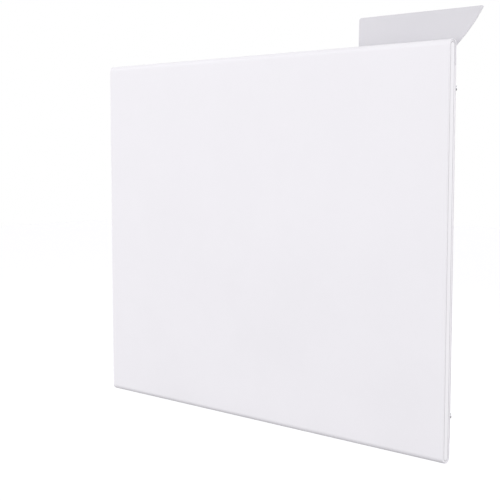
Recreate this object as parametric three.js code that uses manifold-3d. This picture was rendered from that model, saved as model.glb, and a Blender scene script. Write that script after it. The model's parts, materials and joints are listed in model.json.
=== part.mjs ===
// Slim electric panel heater, wall hung, in millimetres with +Z up.
// X runs along the heater, to the right seen from the front. -Y is the front.
// The origin lies on the wall plane, in the middle of the wall bracket.
import * as THREE from 'three';
import { ConvexGeometry } from 'three/addons/geometries/ConvexGeometry.js';
import { mergeGeometries, mergeVertices } from 'three/addons/utils/BufferGeometryUtils.js';
import Module from 'manifold-3d';

const wasm = await Module();
wasm.setup();

// Clearances
const seatGap = 0.3; // between pieces that touch on the real heater
const overrun = 6; // how far a cutting tool runs past the face it opens

// Front panel: one sheet, rolled half round along its top and bottom edges
const panelWidth = 520;
const panelHeight = 430;
const panelDepth = 12.5;
const panelSheet = 1;
const panelReturn = 25; // rear flange, from the top of the roll to its free edge
const capThickness = 3;
const capInset = 0.4; // end cap set back behind the sheet's cut edge

// Rear housing: a body that tapers from the panel to the rear cover on all four sides
const wallGap = 15; // rear cover to wall
const housingDepth = 52.2;
const housingHeight = 392; // at the panel
const slopeDrop = 42; // fall of the grilles from the panel to the rear cover
const endRun = 47; // how far each end wall leans inboard on its way to the rear
const housingWall = 2;
const rearRail = 10; // rear strip of each end housing, beside the rear cover
const ledgeWidth = 10; // step of each end housing that the rear cover is screwed to
const flangeWidth = 14; // front flange of each end housing, behind the panel
const rearSheet = 1;

// Grilles in the sloping top and bottom
const grilleSheet = 1.2;
const grilleFlange = 8;
const slotWidth = 5.5;
const slotPitch = 11.1;
const slotMargin = 10; // plain strip at each end of a grille
const frontSlotLength = 15;
const rearSlotLength = 34;
const slotBridge = 5; // strip between the two rows
const slotEdge = 8.6; // strip between the panel and the front row
const slotReach = 2.4; // how far a slot's tool goes above and below the sheet's face

// Control pod at the right end
const controlDrop = 7.5; // below the top of the panel
const controlLength = 159.3;
const podFrontWall = 1.2;
const podRearWall = 1.4;
const podSideWall = 2;
const fasciaThickness = 1.5;
const fasciaDrop = 0.3; // fascia below the rim round it
const ledgeThickness = 1.5;
const rowLedge = 1; // ledge along the front and rear of the fascia
const sideLedge = 1; // ledge along its ends
const edgeSlotDrop = 2.7; // slot in the end wall's front edge, below the control surface
const edgeSlotHeight = 5.8;
const edgeSlotWidth = 1.2;
const edgeSlotReach = 4;

// Lid and its hinge
const hingeRadius = 1.4; // barrel of the lid
const hingeRoom = 2.3; // from the hinge axis to the sides of the trough
const hingeLip = 0.8; // wall between the fascia and the trough
const hingeDrop = 1.6; // axis below the control surface
const troughFloor = 1.5;
const rodRadius = 0.6;
const bossLength = 7.4; // at the inboard end
const endBossLength = 5.5; // at the slanted end
const bossFoot = 1.1; // foot of a boss, in front of the hinge axis
const bossClearance = 0.45; // lid to the bosses beside its barrel
const lidThickness = 1.8;
const lidOffset = 3; // inner face of the lid from the hinge axis
const lidFrontGap = 0.8; // closed lid to the back of the panel
const lidEndInset = 0.3; // closed lid inside the slanted end
const lidCorner = 3; // radius of the lid's free corners
const lidBow = 7; // pull on the curve of the lid's slanted end
const earThickness = 1.5; // ear at the lid's inboard end, beside the pod
const earReach = 8; // in front of the hinge axis
const earRise = 14; // above the axis
const earTip = 1.2; // height of the ear's free end
const lidLean = 1.5; // degrees past upright when the lid is open

// Buttons
const buttonShare = 0.23; // diameter, of the housing's depth
const buttonClearance = 0.25; // round the cap in its hole
const buttonProud = 0.6;
const buttonTravel = 0.6;
const buttonFlange = 0.6; // flange past the cap
const buttonFlangeThickness = 1;
const buttonStemDiameter = 5;
const buttonStemLength = 3.9;
const buttonEdge = 0.4;
const buttonInset = 1.25; // button hole to the edge of the fascia
const nearColumnFromEnd = 47.2;
const farColumnFromEnd = 145.7;

// Display and lamps
const displayWidth = 21.4;
const displayShare = 0.326; // height, of the housing's depth
const displayGlass = 1.4;
const displayBezel = 0.8; // glass past the module below it
const displayFromEnd = 94.8;
const displayPlaceShare = 0.36; // middle behind the front, of the housing's depth
const lampCount = 6;
const lampDiameter = 2;
const lampDome = 0.5;
const lampShoulder = 0.15; // below the top of the dome
const lampShoulderShare = 0.7; // of the lamp's radius
const lampProud = 0.3;
const lampPitch = 11.1;
const lampsFromEnd = 95.7;
const lampPlaceShare = 0.244; // in front of the hinge, of the housing's depth

// Control board
const boardThickness = 1.6;
const boardEdge = 4; // round the board, to the pod's walls
const keySize = 6;
const keyHeight = 3.2;
const keyPlunger = 1.6;
const boardRib = 3;
const boardRibReach = 6;
const ribFromColumn = 26;

// Switch pocket and rocker switch in the right end wall
const pocketTopDrop = 36.5; // below the control surface
const pocketHeight = 45;
const pocketFrontGap = 13.8; // from the front of the housing
const pocketLength = 23;
const pocketStep = 1.8; // floor behind the rear edge of the pocket's mouth
const grooveWidth = 1; // groove along the rear and bottom of the floor
const grooveDepth = 1.4;
const switchHeight = 33;
const switchWidth = 14;
const bezelThickness = 1.6;
const bezelLip = 1.2; // bezel past the body behind it
const bezelTopGap = 5.5;
const switchDepth = 19;
const switchWall = 0.7;
const wellDepth = 11;
const rockerClearance = 0.3;
const rockerCorner = 24; // degrees, corner of the rocker's face seen from the pivot
const rockerTail = 12; // degrees
const rockerValley = 0.6; // middle of the rocker's face above the bezel
const rockerBack = 5.5;
const rockerBackHalf = 4;
const pivotDrop = 3; // pivot below the face of the bezel
const pivotRadius = 1.2;
const pivotReach = 0.7;
const rockerTilt = 9; // degrees either side of level
const spadeWidth = 6.3;
const spadeThickness = 0.8;
const spadeLength = 8;
const spadePitch = 8.5;

// Heating element and what holds it
const elementClearance = 5; // element to the housing's front and to the heat shield
const elementCore = 6;
const finThickness = 1.6;
const finCount = 8;
const elementFromLeft = 78; // from the left end of the panel
const elementFromRight = 92;
const elementDrop = 100; // below the middle
const insulatorRadius = 6;
const insulatorLength = 15;
const insulatorCollar = 2.5;
const bracketSheet = 1.2;
const bracketHeight = 32;
const bracketReach = 9;
const bracketFoot = 12;
const bracketSetback = 6; // from the end of the element
const shieldSheet = 0.8;
const shieldHeight = 190;
const shieldFoot = 7;
const shieldStandOff = 6.9; // face of the shield in front of the rear cover
const shieldLip = 6;
const cutoutRadius = 8;
const cutoutFlange = 10.5;
const cutoutFlangeThickness = 1.2;
const cutoutDepth = 9;
const cutoutAboveElement = 62;

// Electrics behind the right end wall
const baffleSheet = 1;
const baffleFromEnd = 76;
const baffleBelowPod = 4;
const baffleEdge = 3;
const powerBoardHeight = 100;
const powerBoardEdge = 5;
const powerBoardFromTop = 60; // below the top of the baffle
const relayHeight = 15.5;
const relayLength = 19;
const relayWidth = 15;
const coilHeight = 14;
const coilLength = 27;
const coilWidth = 22;
const pieceSpacing = 6;
const terminalHeight = 12;
const terminalLength = 34;
const terminalWidth = 17;
const terminalBelowBoard = 22;
const terminalWell = 4;
const terminalWellRadius = 3;
const probeRadius = 2.2;
const probeLength = 16;
const probeFromBottom = 30;
const glandRadius = 8;
const glandBore = 4.2;
const glandFlange = 10.5;
const glandFlangeThickness = 2.2;
const glandLength = 15;
const glandFromEnd = 40;
const glandFromFront = 14;

// Wall bracket, a pressed frame of two uprights and a crossbar
const bracketSteel = 1.5;
const uprightWidth = 30;
const uprightHeight = 250;
const uprightSpacing = 240;
const crossbarHeight = 34;
const wallHoleRadius = 3;
const wallHoleInset = 16; // from each end of an upright
const hookNeck = 5;
const hookRise = 6;
const hookDepth = 3;
const hookInset = 30; // from each end of an upright
const hookSlotHeight = 13;
const hookSlotSide = 0.8;
const bracketRelief = 0.6; // bracket to the rear cover

// Screws
const screwHeadRadius = 2.6;
const screwCrownRadius = 1.9; // flat top of the head
const screwHeadHeight = 1.6;
const screwShankRadius = 1.5;
const screwHoleRadius = 1.9;
const rearScrewLength = 8;
const sideScrewLength = 4.5;
const rearScrewSpacing = 130;
const sideScrewBelowControl = 40.3;
const sideScrewFromFront = 3.9;

// Counts of segments
const arcSegments = 8;
const cornerSegments = 4;
const roundSides = 20;
const smallSides = 12;

// Planes and edges worked out from the sizes above
const halfWidth = panelWidth / 2;
const topZ = panelHeight / 2;
const rearY = -wallGap;
const housingFrontY = rearY - housingDepth;
const panelRearY = housingFrontY - seatGap;
const panelFrontY = panelRearY - panelDepth;
const splitX = halfWidth - endRun - rearRail;
const controlZ = topZ - controlDrop;
const podLeftX = halfWidth - controlLength;
const grilleRearZ = housingHeight / 2 - slopeDrop;
const endSecant = Math.hypot(endRun, housingDepth) / housingDepth;
const slopeSecant = Math.hypot(slopeDrop, housingDepth) / housingDepth;
const hingeY = rearY - podRearWall - hingeRoom;
const hingeZ = controlZ - hingeDrop;
const lipFrontY = hingeY - hingeRoom - hingeLip;
const fasciaTopZ = controlZ - fasciaDrop;
const fasciaBottomZ = fasciaTopZ - fasciaThickness;
const ledgeTopZ = fasciaBottomZ - seatGap;
const ledgeBottomZ = ledgeTopZ - ledgeThickness;
const troughZ = hingeZ - hingeRoom;
const coverTopZ = grilleRearZ - grilleSheet * slopeSecant - seatGap;
const podBottomZ = coverTopZ + seatGap;

// Where the slanted end wall and the sloping top stand at a given depth
function endXAt(y) {
  return halfWidth - endRun * (y - housingFrontY) / housingDepth;
}

function slopeZAt(y) {
  return housingHeight / 2 - slopeDrop * (y - housingFrontY) / housingDepth;
}

// Solids from geometries and back
function solidOf(geometry) {
  const bare = new THREE.BufferGeometry();
  bare.setAttribute('position', geometry.getAttribute('position').clone());
  if (geometry.index) bare.setIndex(geometry.index.clone());
  const merged = mergeVertices(bare);
  const corners = merged.index.array;
  const triangles = [];
  for (let i = 0; i < corners.length; i += 3) {
    const [a, b, c] = corners.slice(i, i + 3);
    if (a !== b && b !== c && c !== a) triangles.push(a, b, c);
  }
  return new wasm.Manifold(new wasm.Mesh({
    numProp: 3,
    vertProperties: new Float32Array(merged.getAttribute('position').array),
    triVerts: new Uint32Array(triangles),
  }));
}

function geometryOf(solid) {
  const mesh = solid.getMesh();
  const indexed = new THREE.BufferGeometry();
  const places = new Float32Array(mesh.numVert * 3);
  for (let i = 0; i < mesh.numVert; i += 1) {
    for (let k = 0; k < 3; k += 1) {
      places[i * 3 + k] = mesh.vertProperties[i * mesh.numProp + k];
    }
  }
  indexed.setAttribute('position', new THREE.BufferAttribute(places, 3));
  indexed.setIndex(new THREE.BufferAttribute(new Uint32Array(mesh.triVerts), 1));
  const flat = indexed.toNonIndexed();
  flat.computeVertexNormals();
  return flat;
}

function join(...geometries) {
  return geometryOf(geometries.map(solidOf).reduce((all, solid) => all.add(solid)));
}

function cut(body, ...tools) {
  return geometryOf(tools.map(solidOf).reduce((rest, solid) => rest.subtract(solid), solidOf(body)));
}

function common(first, second) {
  return geometryOf(solidOf(first).intersect(solidOf(second)));
}

// Several tools that stay clear of each other, cut as one
function toolSet(geometries) {
  return mergeGeometries(geometries.map((geometry) => {
    const bare = geometry.index ? geometry.toNonIndexed() : geometry.clone();
    bare.deleteAttribute('normal');
    bare.deleteAttribute('uv');
    return bare;
  }));
}

// The mirror image of a piece, its triangles turned round to face out again
function reflected(geometry, scaleX, scaleZ) {
  const flipped = geometry.index ? geometry.toNonIndexed() : geometry.clone();
  flipped.scale(scaleX, 1, scaleZ);
  const places = flipped.getAttribute('position');
  const second = new THREE.Vector3();
  const third = new THREE.Vector3();
  for (let i = 0; i < places.count; i += 3) {
    second.fromBufferAttribute(places, i + 1);
    third.fromBufferAttribute(places, i + 2);
    places.setXYZ(i + 1, third.x, third.y, third.z);
    places.setXYZ(i + 2, second.x, second.y, second.z);
  }
  flipped.computeVertexNormals();
  return flipped;
}

function leftToRight(geometry) {
  return reflected(geometry, -1, 1);
}

function topToBottom(geometry) {
  return reflected(geometry, 1, -1);
}

// Basic forms, given by their limits along the axes
function block(x0, x1, y0, y1, z0, z1) {
  const geometry = new THREE.BoxGeometry(x1 - x0, y1 - y0, z1 - z0);
  return geometry.translate((x0 + x1) / 2, (y0 + y1) / 2, (z0 + z1) / 2);
}

function outline(points) {
  return new THREE.Shape(points.map(([u, v]) => new THREE.Vector2(u, v)));
}

function extruded(shape, depth, segments = arcSegments) {
  return new THREE.ExtrudeGeometry(shape, { depth, bevelEnabled: false, curveSegments: segments });
}

// A section drawn as (y, z), carried from x0 to x1
function alongX(shape, x0, x1, segments) {
  const turn = new THREE.Matrix4().makeBasis(
    new THREE.Vector3(0, 1, 0), new THREE.Vector3(0, 0, 1), new THREE.Vector3(1, 0, 0));
  return extruded(shape, x1 - x0, segments).applyMatrix4(turn).translate(x0, 0, 0);
}

// A section drawn as (x, z), carried from y0 to y1
function alongY(shape, y0, y1, segments) {
  return extruded(shape, y1 - y0, segments).rotateX(Math.PI / 2).translate(0, y1, 0);
}

// A section drawn as (x, y), carried from z0 to z1
function alongZ(shape, z0, z1, segments) {
  return extruded(shape, z1 - z0, segments).translate(0, 0, z0);
}

function rodAlongX(x0, x1, y, z, radius, sides = smallSides) {
  const geometry = new THREE.CylinderGeometry(radius, radius, x1 - x0, sides);
  return geometry.rotateZ(-Math.PI / 2).translate((x0 + x1) / 2, y, z);
}

function rodAlongY(y0, y1, x, z, radius, sides = smallSides) {
  const geometry = new THREE.CylinderGeometry(radius, radius, y1 - y0, sides);
  return geometry.translate(x, (y0 + y1) / 2, z);
}

function rodAlongZ(z0, z1, x, y, radius, sides = smallSides) {
  const geometry = new THREE.CylinderGeometry(radius, radius, z1 - z0, sides);
  return geometry.rotateX(Math.PI / 2).translate(x, y, (z0 + z1) / 2);
}

// A turned piece about its own Z axis, from (radius, height) points going up its outside
function turned(points, sides = roundSides) {
  const profile = points.map(([radius, height]) => new THREE.Vector2(radius, height));
  const geometry = new THREE.LatheGeometry(profile, sides);
  return geometryOf(solidOf(geometry.rotateX(Math.PI / 2)));
}

// Finishes
function finish(color, roughness, metalness = 0) {
  return new THREE.MeshStandardMaterial({ color, roughness, metalness });
}

const heater = new THREE.Group();

function add(name, geometry, material, parent = heater) {
  const mesh = new THREE.Mesh(geometry, material);
  mesh.name = name;
  parent.add(mesh);
  return mesh;
}

// Front panel
function frontPanel() {
  const radius = panelDepth / 2;
  const inner = radius - panelSheet;
  const middleY = (panelFrontY + panelRearY) / 2;
  const rollZ = topZ - radius;
  const returnZ = topZ - panelReturn;
  const section = new THREE.Shape();
  section.moveTo(panelRearY, returnZ);
  section.lineTo(panelRearY, rollZ);
  section.absarc(middleY, rollZ, radius, 0, Math.PI, false);
  section.lineTo(panelFrontY, -rollZ);
  section.absarc(middleY, -rollZ, radius, Math.PI, Math.PI * 2, false);
  section.lineTo(panelRearY, -returnZ);
  section.lineTo(panelRearY - panelSheet, -returnZ);
  section.lineTo(panelRearY - panelSheet, -rollZ);
  section.absarc(middleY, -rollZ, inner, Math.PI * 2, Math.PI, true);
  section.lineTo(panelFrontY + panelSheet, rollZ);
  section.absarc(middleY, rollZ, inner, Math.PI, 0, true);
  section.lineTo(panelRearY - panelSheet, returnZ);
  return alongX(section, -halfWidth, halfWidth);
}

// End cap: fills the rolled sheet and comes out flush between the two return flanges
function endCap() {
  const radius = panelDepth / 2 - panelSheet - seatGap;
  const middleY = (panelFrontY + panelRearY) / 2;
  const rollZ = topZ - panelDepth / 2;
  const landZ = topZ - panelReturn - seatGap;
  const section = new THREE.Shape();
  section.moveTo(middleY + radius, landZ);
  section.lineTo(middleY + radius, rollZ);
  section.absarc(middleY, rollZ, radius, 0, Math.PI, false);
  section.lineTo(middleY - radius, -rollZ);
  section.absarc(middleY, -rollZ, radius, Math.PI, Math.PI * 2, false);
  section.lineTo(middleY + radius, -landZ);
  section.lineTo(panelRearY, -landZ);
  section.lineTo(panelRearY, landZ);
  return alongX(section, halfWidth - capInset - capThickness, halfWidth - capInset);
}

// The tapering body of the housing, drawn in on every side by an inset
function taperedBody(inset) {
  const frontY = inset > 0 ? housingFrontY - overrun : housingFrontY;
  const backY = rearY - inset;
  const corners = [];
  for (const y of [frontY, backY]) {
    const x = endXAt(y) - inset * endSecant;
    const z = slopeZAt(y) - inset * slopeSecant;
    for (const [u, v] of [[-x, -z], [x, -z], [x, z], [-x, z]]) corners.push(new THREE.Vector3(u, y, v));
  }
  return new ConvexGeometry(corners);
}

// Plan of the pod, drawn in from its inboard end, its front, its rear and its slanted end
function podPlan(left, frontY, backY, end) {
  return outline([
    [podLeftX + left, frontY],
    [endXAt(frontY) - end * endSecant, frontY],
    [endXAt(backY) - end * endSecant, backY],
    [podLeftX + left, backY],
  ]);
}

// The end of the tapering body that belongs to an end housing
function endBody() {
  return common(taperedBody(0), block(
    splitX, halfWidth + overrun, housingFrontY - overrun, rearY + overrun, -topZ, topZ));
}

// End housing round a solid body: end wall, corner strips, front flange and screw ledge
function endShell(body) {
  const shell = cut(body, taperedBody(housingWall));
  const flange = common(endBody(), block(
    halfWidth - flangeWidth, halfWidth + overrun, housingFrontY, housingFrontY + housingWall,
    -topZ, topZ));
  const ledgeY = rearY - rearSheet - seatGap;
  const ledgeZ = coverTopZ - grilleFlange - housingWall;
  const ledge = block(
    splitX - ledgeWidth, splitX + housingWall, ledgeY - housingWall, ledgeY, -ledgeZ, ledgeZ);
  const screws = rearScrewHeights().map((z) => rodAlongY(
    ledgeY - housingWall - overrun, ledgeY + overrun, splitX - ledgeWidth / 2, z, screwHoleRadius));
  return cut(join(shell, flange, ledge), toolSet(screws));
}

function rearScrewHeights() {
  return [-rearScrewSpacing, 0, rearScrewSpacing];
}

// Holes for the screws that hold each end wall to the panel's end cap
function sideScrewHeights() {
  const z = controlZ - sideScrewBelowControl;
  return [z, -z];
}

function sideScrewPlace() {
  const y = housingFrontY + sideScrewFromFront;
  return { x: endXAt(y), y, turn: Math.atan2(housingDepth, endRun) };
}

function sideScrewHoles() {
  const place = sideScrewPlace();
  return sideScrewHeights().map((z) => {
    const hole = new THREE.CylinderGeometry(screwHoleRadius, screwHoleRadius, overrun * 2, smallSides);
    return hole.rotateZ(-Math.PI / 2).rotateZ(Math.PI / 2 - place.turn).translate(place.x, place.y, z);
  });
}

// Right end housing: end shell, control pod, hinge trough and switch pocket in one moulding
const pocketFrontY = housingFrontY + pocketFrontGap;
const pocketRearY = pocketFrontY + pocketLength;
const pocketTopZ = controlZ - pocketTopDrop;
const pocketBottomZ = pocketTopZ - pocketHeight;
const pocketFloorX = endXAt(pocketRearY) - pocketStep;
const switchY = (pocketFrontY + pocketRearY) / 2;
const switchZ = pocketTopZ - bezelTopGap - switchHeight / 2;
const switchFaceX = pocketFloorX + seatGap + bezelThickness;
const bodyHalfZ = switchHeight / 2 - bezelLip;
const bodyHalfY = switchWidth / 2 - bezelLip + seatGap;

function hingeBoss(x0, x1) {
  const barrel = rodAlongX(x0, x1, hingeY, hingeZ, hingeRadius, roundSides);
  const foot = block(
    x0, x1, hingeY - bossFoot, rearY - podRearWall / 2, troughZ - troughFloor / 2, hingeZ);
  return join(barrel, foot);
}

const innerBossEndX = podLeftX + bossLength;
const outerBossEndX = endXAt(hingeY) - housingWall * endSecant - seatGap;
const outerBossX = outerBossEndX - endBossLength;
const rodStartX = podLeftX + podSideWall;
const rodEndX = outerBossEndX - podSideWall;

function boardRibs(z) {
  const ribs = [];
  const farRibX = halfWidth - farColumnFromEnd + ribFromColumn;
  const nearRibX = halfWidth - nearColumnFromEnd - ribFromColumn;
  for (const x of [farRibX, nearRibX]) {
    ribs.push(block(
      x, x + boardRib, housingFrontY + podFrontWall / 2, housingFrontY + podFrontWall + boardRibReach,
      z, ledgeBottomZ + ledgeThickness / 2));
    ribs.push(block(
      x, x + boardRib, lipFrontY - boardRibReach / 2, lipFrontY + hingeLip,
      z, troughZ - troughFloor / 2));
  }
  return ribs;
}

function rightHousing(boardTopZ) {
  const pod = alongZ(podPlan(0, housingFrontY, rearY, 0), podBottomZ, controlZ);
  const outer = join(endBody(), pod);
  const shell = endShell(outer);
  const farWall = block(
    podLeftX, podLeftX + podSideWall, housingFrontY, rearY - housingWall, podBottomZ, ledgeBottomZ);
  const pocketCase = common(outer, block(
    pocketFloorX - housingWall, halfWidth + overrun, pocketFrontY - housingWall,
    pocketRearY + housingWall, pocketBottomZ - housingWall, pocketTopZ + housingWall));
  const cavityFrontY = housingFrontY + podFrontWall;
  const wideCavity = alongZ(
    podPlan(podSideWall, cavityFrontY, rearY - podRearWall, housingWall),
    podBottomZ - overrun, troughZ - troughFloor);
  const highCavity = alongZ(
    podPlan(podSideWall, cavityFrontY, lipFrontY, housingWall), podBottomZ, ledgeBottomZ);
  const window = alongZ(podPlan(
    podSideWall + sideLedge, cavityFrontY + rowLedge, lipFrontY - rowLedge, housingWall + sideLedge),
  podBottomZ, controlZ + overrun);
  const recess = alongZ(
    podPlan(podSideWall, cavityFrontY, lipFrontY, housingWall), ledgeTopZ, controlZ + overrun);
  const trough = block(
    podLeftX - overrun, halfWidth, lipFrontY + hingeLip, rearY - podRearWall, troughZ, controlZ + overrun);
  const lowRear = block(
    podLeftX - overrun, halfWidth, rearY - podRearWall - overrun / 2, rearY + overrun,
    hingeZ - seatGap, controlZ + overrun);
  const hollow = cut(shell, wideCavity, highCavity, window, recess, trough, lowRear);
  const pocketHole = block(
    pocketFloorX, halfWidth + overrun, pocketFrontY, pocketRearY, pocketBottomZ, pocketTopZ);
  const rearGroove = block(
    pocketFloorX - grooveDepth, pocketFloorX + grooveDepth, pocketRearY - grooveWidth, pocketRearY,
    pocketBottomZ, pocketTopZ);
  const bottomGroove = block(
    pocketFloorX - grooveDepth, pocketFloorX + grooveDepth, switchY, pocketRearY,
    pocketBottomZ, pocketBottomZ + grooveWidth);
  const edgeSlot = block(
    halfWidth - edgeSlotReach, halfWidth + overrun, housingFrontY - overrun,
    housingFrontY + edgeSlotWidth, controlZ - edgeSlotDrop - edgeSlotHeight, controlZ - edgeSlotDrop);
  const switchHole = block(
    pocketFloorX - housingWall - overrun, pocketFloorX + overrun,
    switchY - bodyHalfY, switchY + bodyHalfY, switchZ - bodyHalfZ, switchZ + bodyHalfZ);
  const bosses = join(hingeBoss(podLeftX, innerBossEndX), hingeBoss(outerBossX, outerBossEndX));
  const rodBore = rodAlongX(
    rodStartX - seatGap, rodEndX + seatGap, hingeY, hingeZ, rodRadius + seatGap, smallSides);
  const whole = join(hollow, farWall, pocketCase, bosses, ...boardRibs(boardTopZ + seatGap));
  const gland = glandTool(glandRadius + seatGap);
  return cut(
    whole, pocketHole, rearGroove, bottomGroove, edgeSlot, switchHole, rodBore, gland,
    toolSet(sideScrewHoles()));
}

// Cord inlet in the sloping underside near the right end
const glandX = halfWidth - glandFromEnd;
const glandY = housingFrontY + glandFromFront;
const slopeAngle = Math.atan2(slopeDrop, housingDepth);

function placeGland(geometry) {
  return geometry.rotateX(slopeAngle).translate(glandX, glandY, -slopeZAt(glandY));
}

function glandTool(radius) {
  return placeGland(rodAlongZ(-overrun, overrun, 0, 0, radius, roundSides));
}

function cableGland() {
  const flangeZ = -seatGap - glandFlangeThickness;
  const bush = turned([
    [glandBore, flangeZ],
    [glandFlange, flangeZ],
    [glandFlange, -seatGap],
    [glandRadius, -seatGap],
    [glandRadius, glandLength + flangeZ],
    [glandBore, glandLength + flangeZ],
    [glandBore, flangeZ],
  ]);
  return placeGland(bush);
}

// Rear cover with its screw holes and the slots that hang on the wall bracket's hooks
function hookHeights() {
  const z = uprightHeight / 2 - hookInset;
  return [z, -z];
}

function hookPlanes() {
  const outerFace = uprightSpacing / 2 + uprightWidth / 2 - bracketSteel / 2;
  return [-outerFace, outerFace];
}

function rearCover() {
  const x = splitX - seatGap;
  const y0 = rearY - rearSheet - overrun;
  const y1 = rearY + overrun;
  const holes = [];
  const screwX = splitX - ledgeWidth / 2;
  for (const z of rearScrewHeights()) {
    for (const u of [-screwX, screwX]) holes.push(rodAlongY(y0, y1, u, z, screwHoleRadius));
  }
  const half = bracketSteel / 2 + hookSlotSide;
  for (const z of hookHeights()) {
    for (const u of hookPlanes()) {
      holes.push(block(u - half, u + half, y0, y1, z - hookSlotHeight, z));
    }
  }
  return cut(block(-x, x, rearY - rearSheet, rearY, -coverTopZ, coverTopZ), toolSet(holes));
}

// Grille: front flange, slope with two rows of slots, and rear flange
function grille(x0, x1) {
  const frontY = housingFrontY;
  const slopeEndY = rearY;
  const drop = grilleSheet * slopeSecant;
  const flangeY = rearY - rearSheet - seatGap;
  const section = outline([
    [frontY, slopeZAt(frontY)],
    [frontY, slopeZAt(frontY) - drop - grilleFlange],
    [frontY + grilleSheet, slopeZAt(frontY) - drop - grilleFlange],
    [frontY + grilleSheet, slopeZAt(frontY + grilleSheet) - drop],
    [flangeY - grilleSheet, slopeZAt(flangeY - grilleSheet) - drop],
    [flangeY - grilleSheet, slopeZAt(slopeEndY) - drop - grilleFlange],
    [flangeY, slopeZAt(slopeEndY) - drop - grilleFlange],
    [flangeY, slopeZAt(flangeY) - drop],
    [slopeEndY, slopeZAt(slopeEndY) - drop],
    [slopeEndY, slopeZAt(slopeEndY)],
  ]);
  const plate = alongX(section, x0, x1);
  const room = x1 - x0 - slotMargin * 2 - slotWidth;
  const count = Math.floor(room / slotPitch) + 1;
  const firstX = (x0 + x1) / 2 - (count - 1) * slotPitch / 2;
  const slots = [];
  const cosine = Math.cos(slopeAngle);
  const frontRowY = frontY + slotEdge * cosine;
  const rearRowY = frontRowY + (frontSlotLength + slotBridge) * cosine;
  for (let i = 0; i < count; i += 1) {
    const x = firstX + i * slotPitch;
    for (const [y, length] of [[frontRowY, frontSlotLength], [rearRowY, rearSlotLength]]) {
      const tool = block(-slotWidth / 2, slotWidth / 2, 0, length, -slotReach, slotReach);
      slots.push(tool.rotateX(-slopeAngle).translate(x, y, slopeZAt(y)));
    }
  }
  return cut(plate, toolSet(slots));
}

// Fascia with holes for buttons, lamps and display
const fasciaFrontY = housingFrontY + podFrontWall + seatGap;
const fasciaRearY = lipFrontY - seatGap;
const buttonDiameter = housingDepth * buttonShare;
const holeRadius = buttonDiameter / 2 + buttonClearance;
const frontRowY = fasciaFrontY + buttonInset + holeRadius;
const rearRowY = fasciaRearY - buttonInset - holeRadius;
const middleRowY = (frontRowY + rearRowY) / 2;
const nearColumnX = halfWidth - nearColumnFromEnd;
const farColumnX = halfWidth - farColumnFromEnd;
const lampY = hingeY - housingDepth * lampPlaceShare;
const displayX = halfWidth - displayFromEnd;
const displayY = housingFrontY + housingDepth * displayPlaceShare;
const displayHeight = housingDepth * displayShare;
const buttons = [
  ['button_power', nearColumnX, frontRowY],
  ['button_minus', nearColumnX, middleRowY],
  ['button_plus', nearColumnX, rearRowY],
  ['button_pause', farColumnX, frontRowY],
  ['button_mode', farColumnX, middleRowY],
  ['button_timer', farColumnX, rearRowY],
];

function lampPlaces() {
  const middle = halfWidth - lampsFromEnd;
  return Array.from({ length: lampCount }, (_, i) => middle + (i - (lampCount - 1) / 2) * lampPitch);
}

function fascia() {
  const plan = podPlan(podSideWall + seatGap, fasciaFrontY, fasciaRearY, housingWall + seatGap);
  const z0 = fasciaBottomZ - overrun;
  const z1 = fasciaTopZ + overrun;
  const halfX = displayWidth / 2 + seatGap;
  const halfY = displayHeight / 2 + seatGap;
  const holes = [block(displayX - halfX, displayX + halfX, displayY - halfY, displayY + halfY, z0, z1)];
  for (const [, x, y] of buttons) holes.push(rodAlongZ(z0, z1, x, y, holeRadius, roundSides));
  for (const x of lampPlaces()) holes.push(rodAlongZ(z0, z1, x, lampY, lampDiameter / 2 + seatGap));
  return cut(alongZ(plan, fasciaBottomZ, fasciaTopZ), toolSet(holes));
}

// One button: cap, flange that stops under the fascia, and stem
const flangeTopZ = fasciaBottomZ - seatGap;
const stemBottomZ = flangeTopZ - buttonFlangeThickness - buttonStemLength;
const keyTopZ = stemBottomZ - buttonTravel - seatGap;
const boardTopZ = keyTopZ - keyHeight;

function button(x, y) {
  const capTopZ = fasciaTopZ + buttonProud;
  const capRadius = buttonDiameter / 2;
  const flangeRadius = capRadius + buttonFlange;
  const flangeBottomZ = flangeTopZ - buttonFlangeThickness;
  return turned([
    [0, stemBottomZ],
    [buttonStemDiameter / 2, stemBottomZ],
    [buttonStemDiameter / 2, flangeBottomZ],
    [flangeRadius, flangeBottomZ],
    [flangeRadius, flangeTopZ],
    [capRadius, flangeTopZ],
    [capRadius, capTopZ - buttonEdge],
    [capRadius - buttonEdge, capTopZ],
    [0, capTopZ],
  ]).translate(x, y, 0);
}

function lamp(x) {
  const radius = lampDiameter / 2;
  const topOfLamp = fasciaTopZ + lampProud;
  return turned([
    [0, boardTopZ + seatGap],
    [radius, boardTopZ + seatGap],
    [radius, topOfLamp - lampDome],
    [radius * lampShoulderShare, topOfLamp - lampShoulder],
    [0, topOfLamp],
  ], smallSides).translate(x, lampY, 0);
}

// Control board with one key under each button
function controlBoard() {
  const boardFrontY = housingFrontY + podFrontWall + boardEdge;
  const boardRearY = lipFrontY - boardEdge / 2;
  const plate = alongZ(
    podPlan(podSideWall + boardEdge, boardFrontY, boardRearY, housingWall + boardEdge),
    boardTopZ - boardThickness, boardTopZ);
  const keys = [];
  const half = keySize / 2;
  for (const [, x, y] of buttons) {
    keys.push(block(x - half, x + half, y - half, y + half,
      boardTopZ - boardThickness / 2, keyTopZ - seatGap));
    keys.push(rodAlongZ(boardTopZ, keyTopZ, x, y, keyPlunger));
  }
  return join(plate, ...keys);
}

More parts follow.
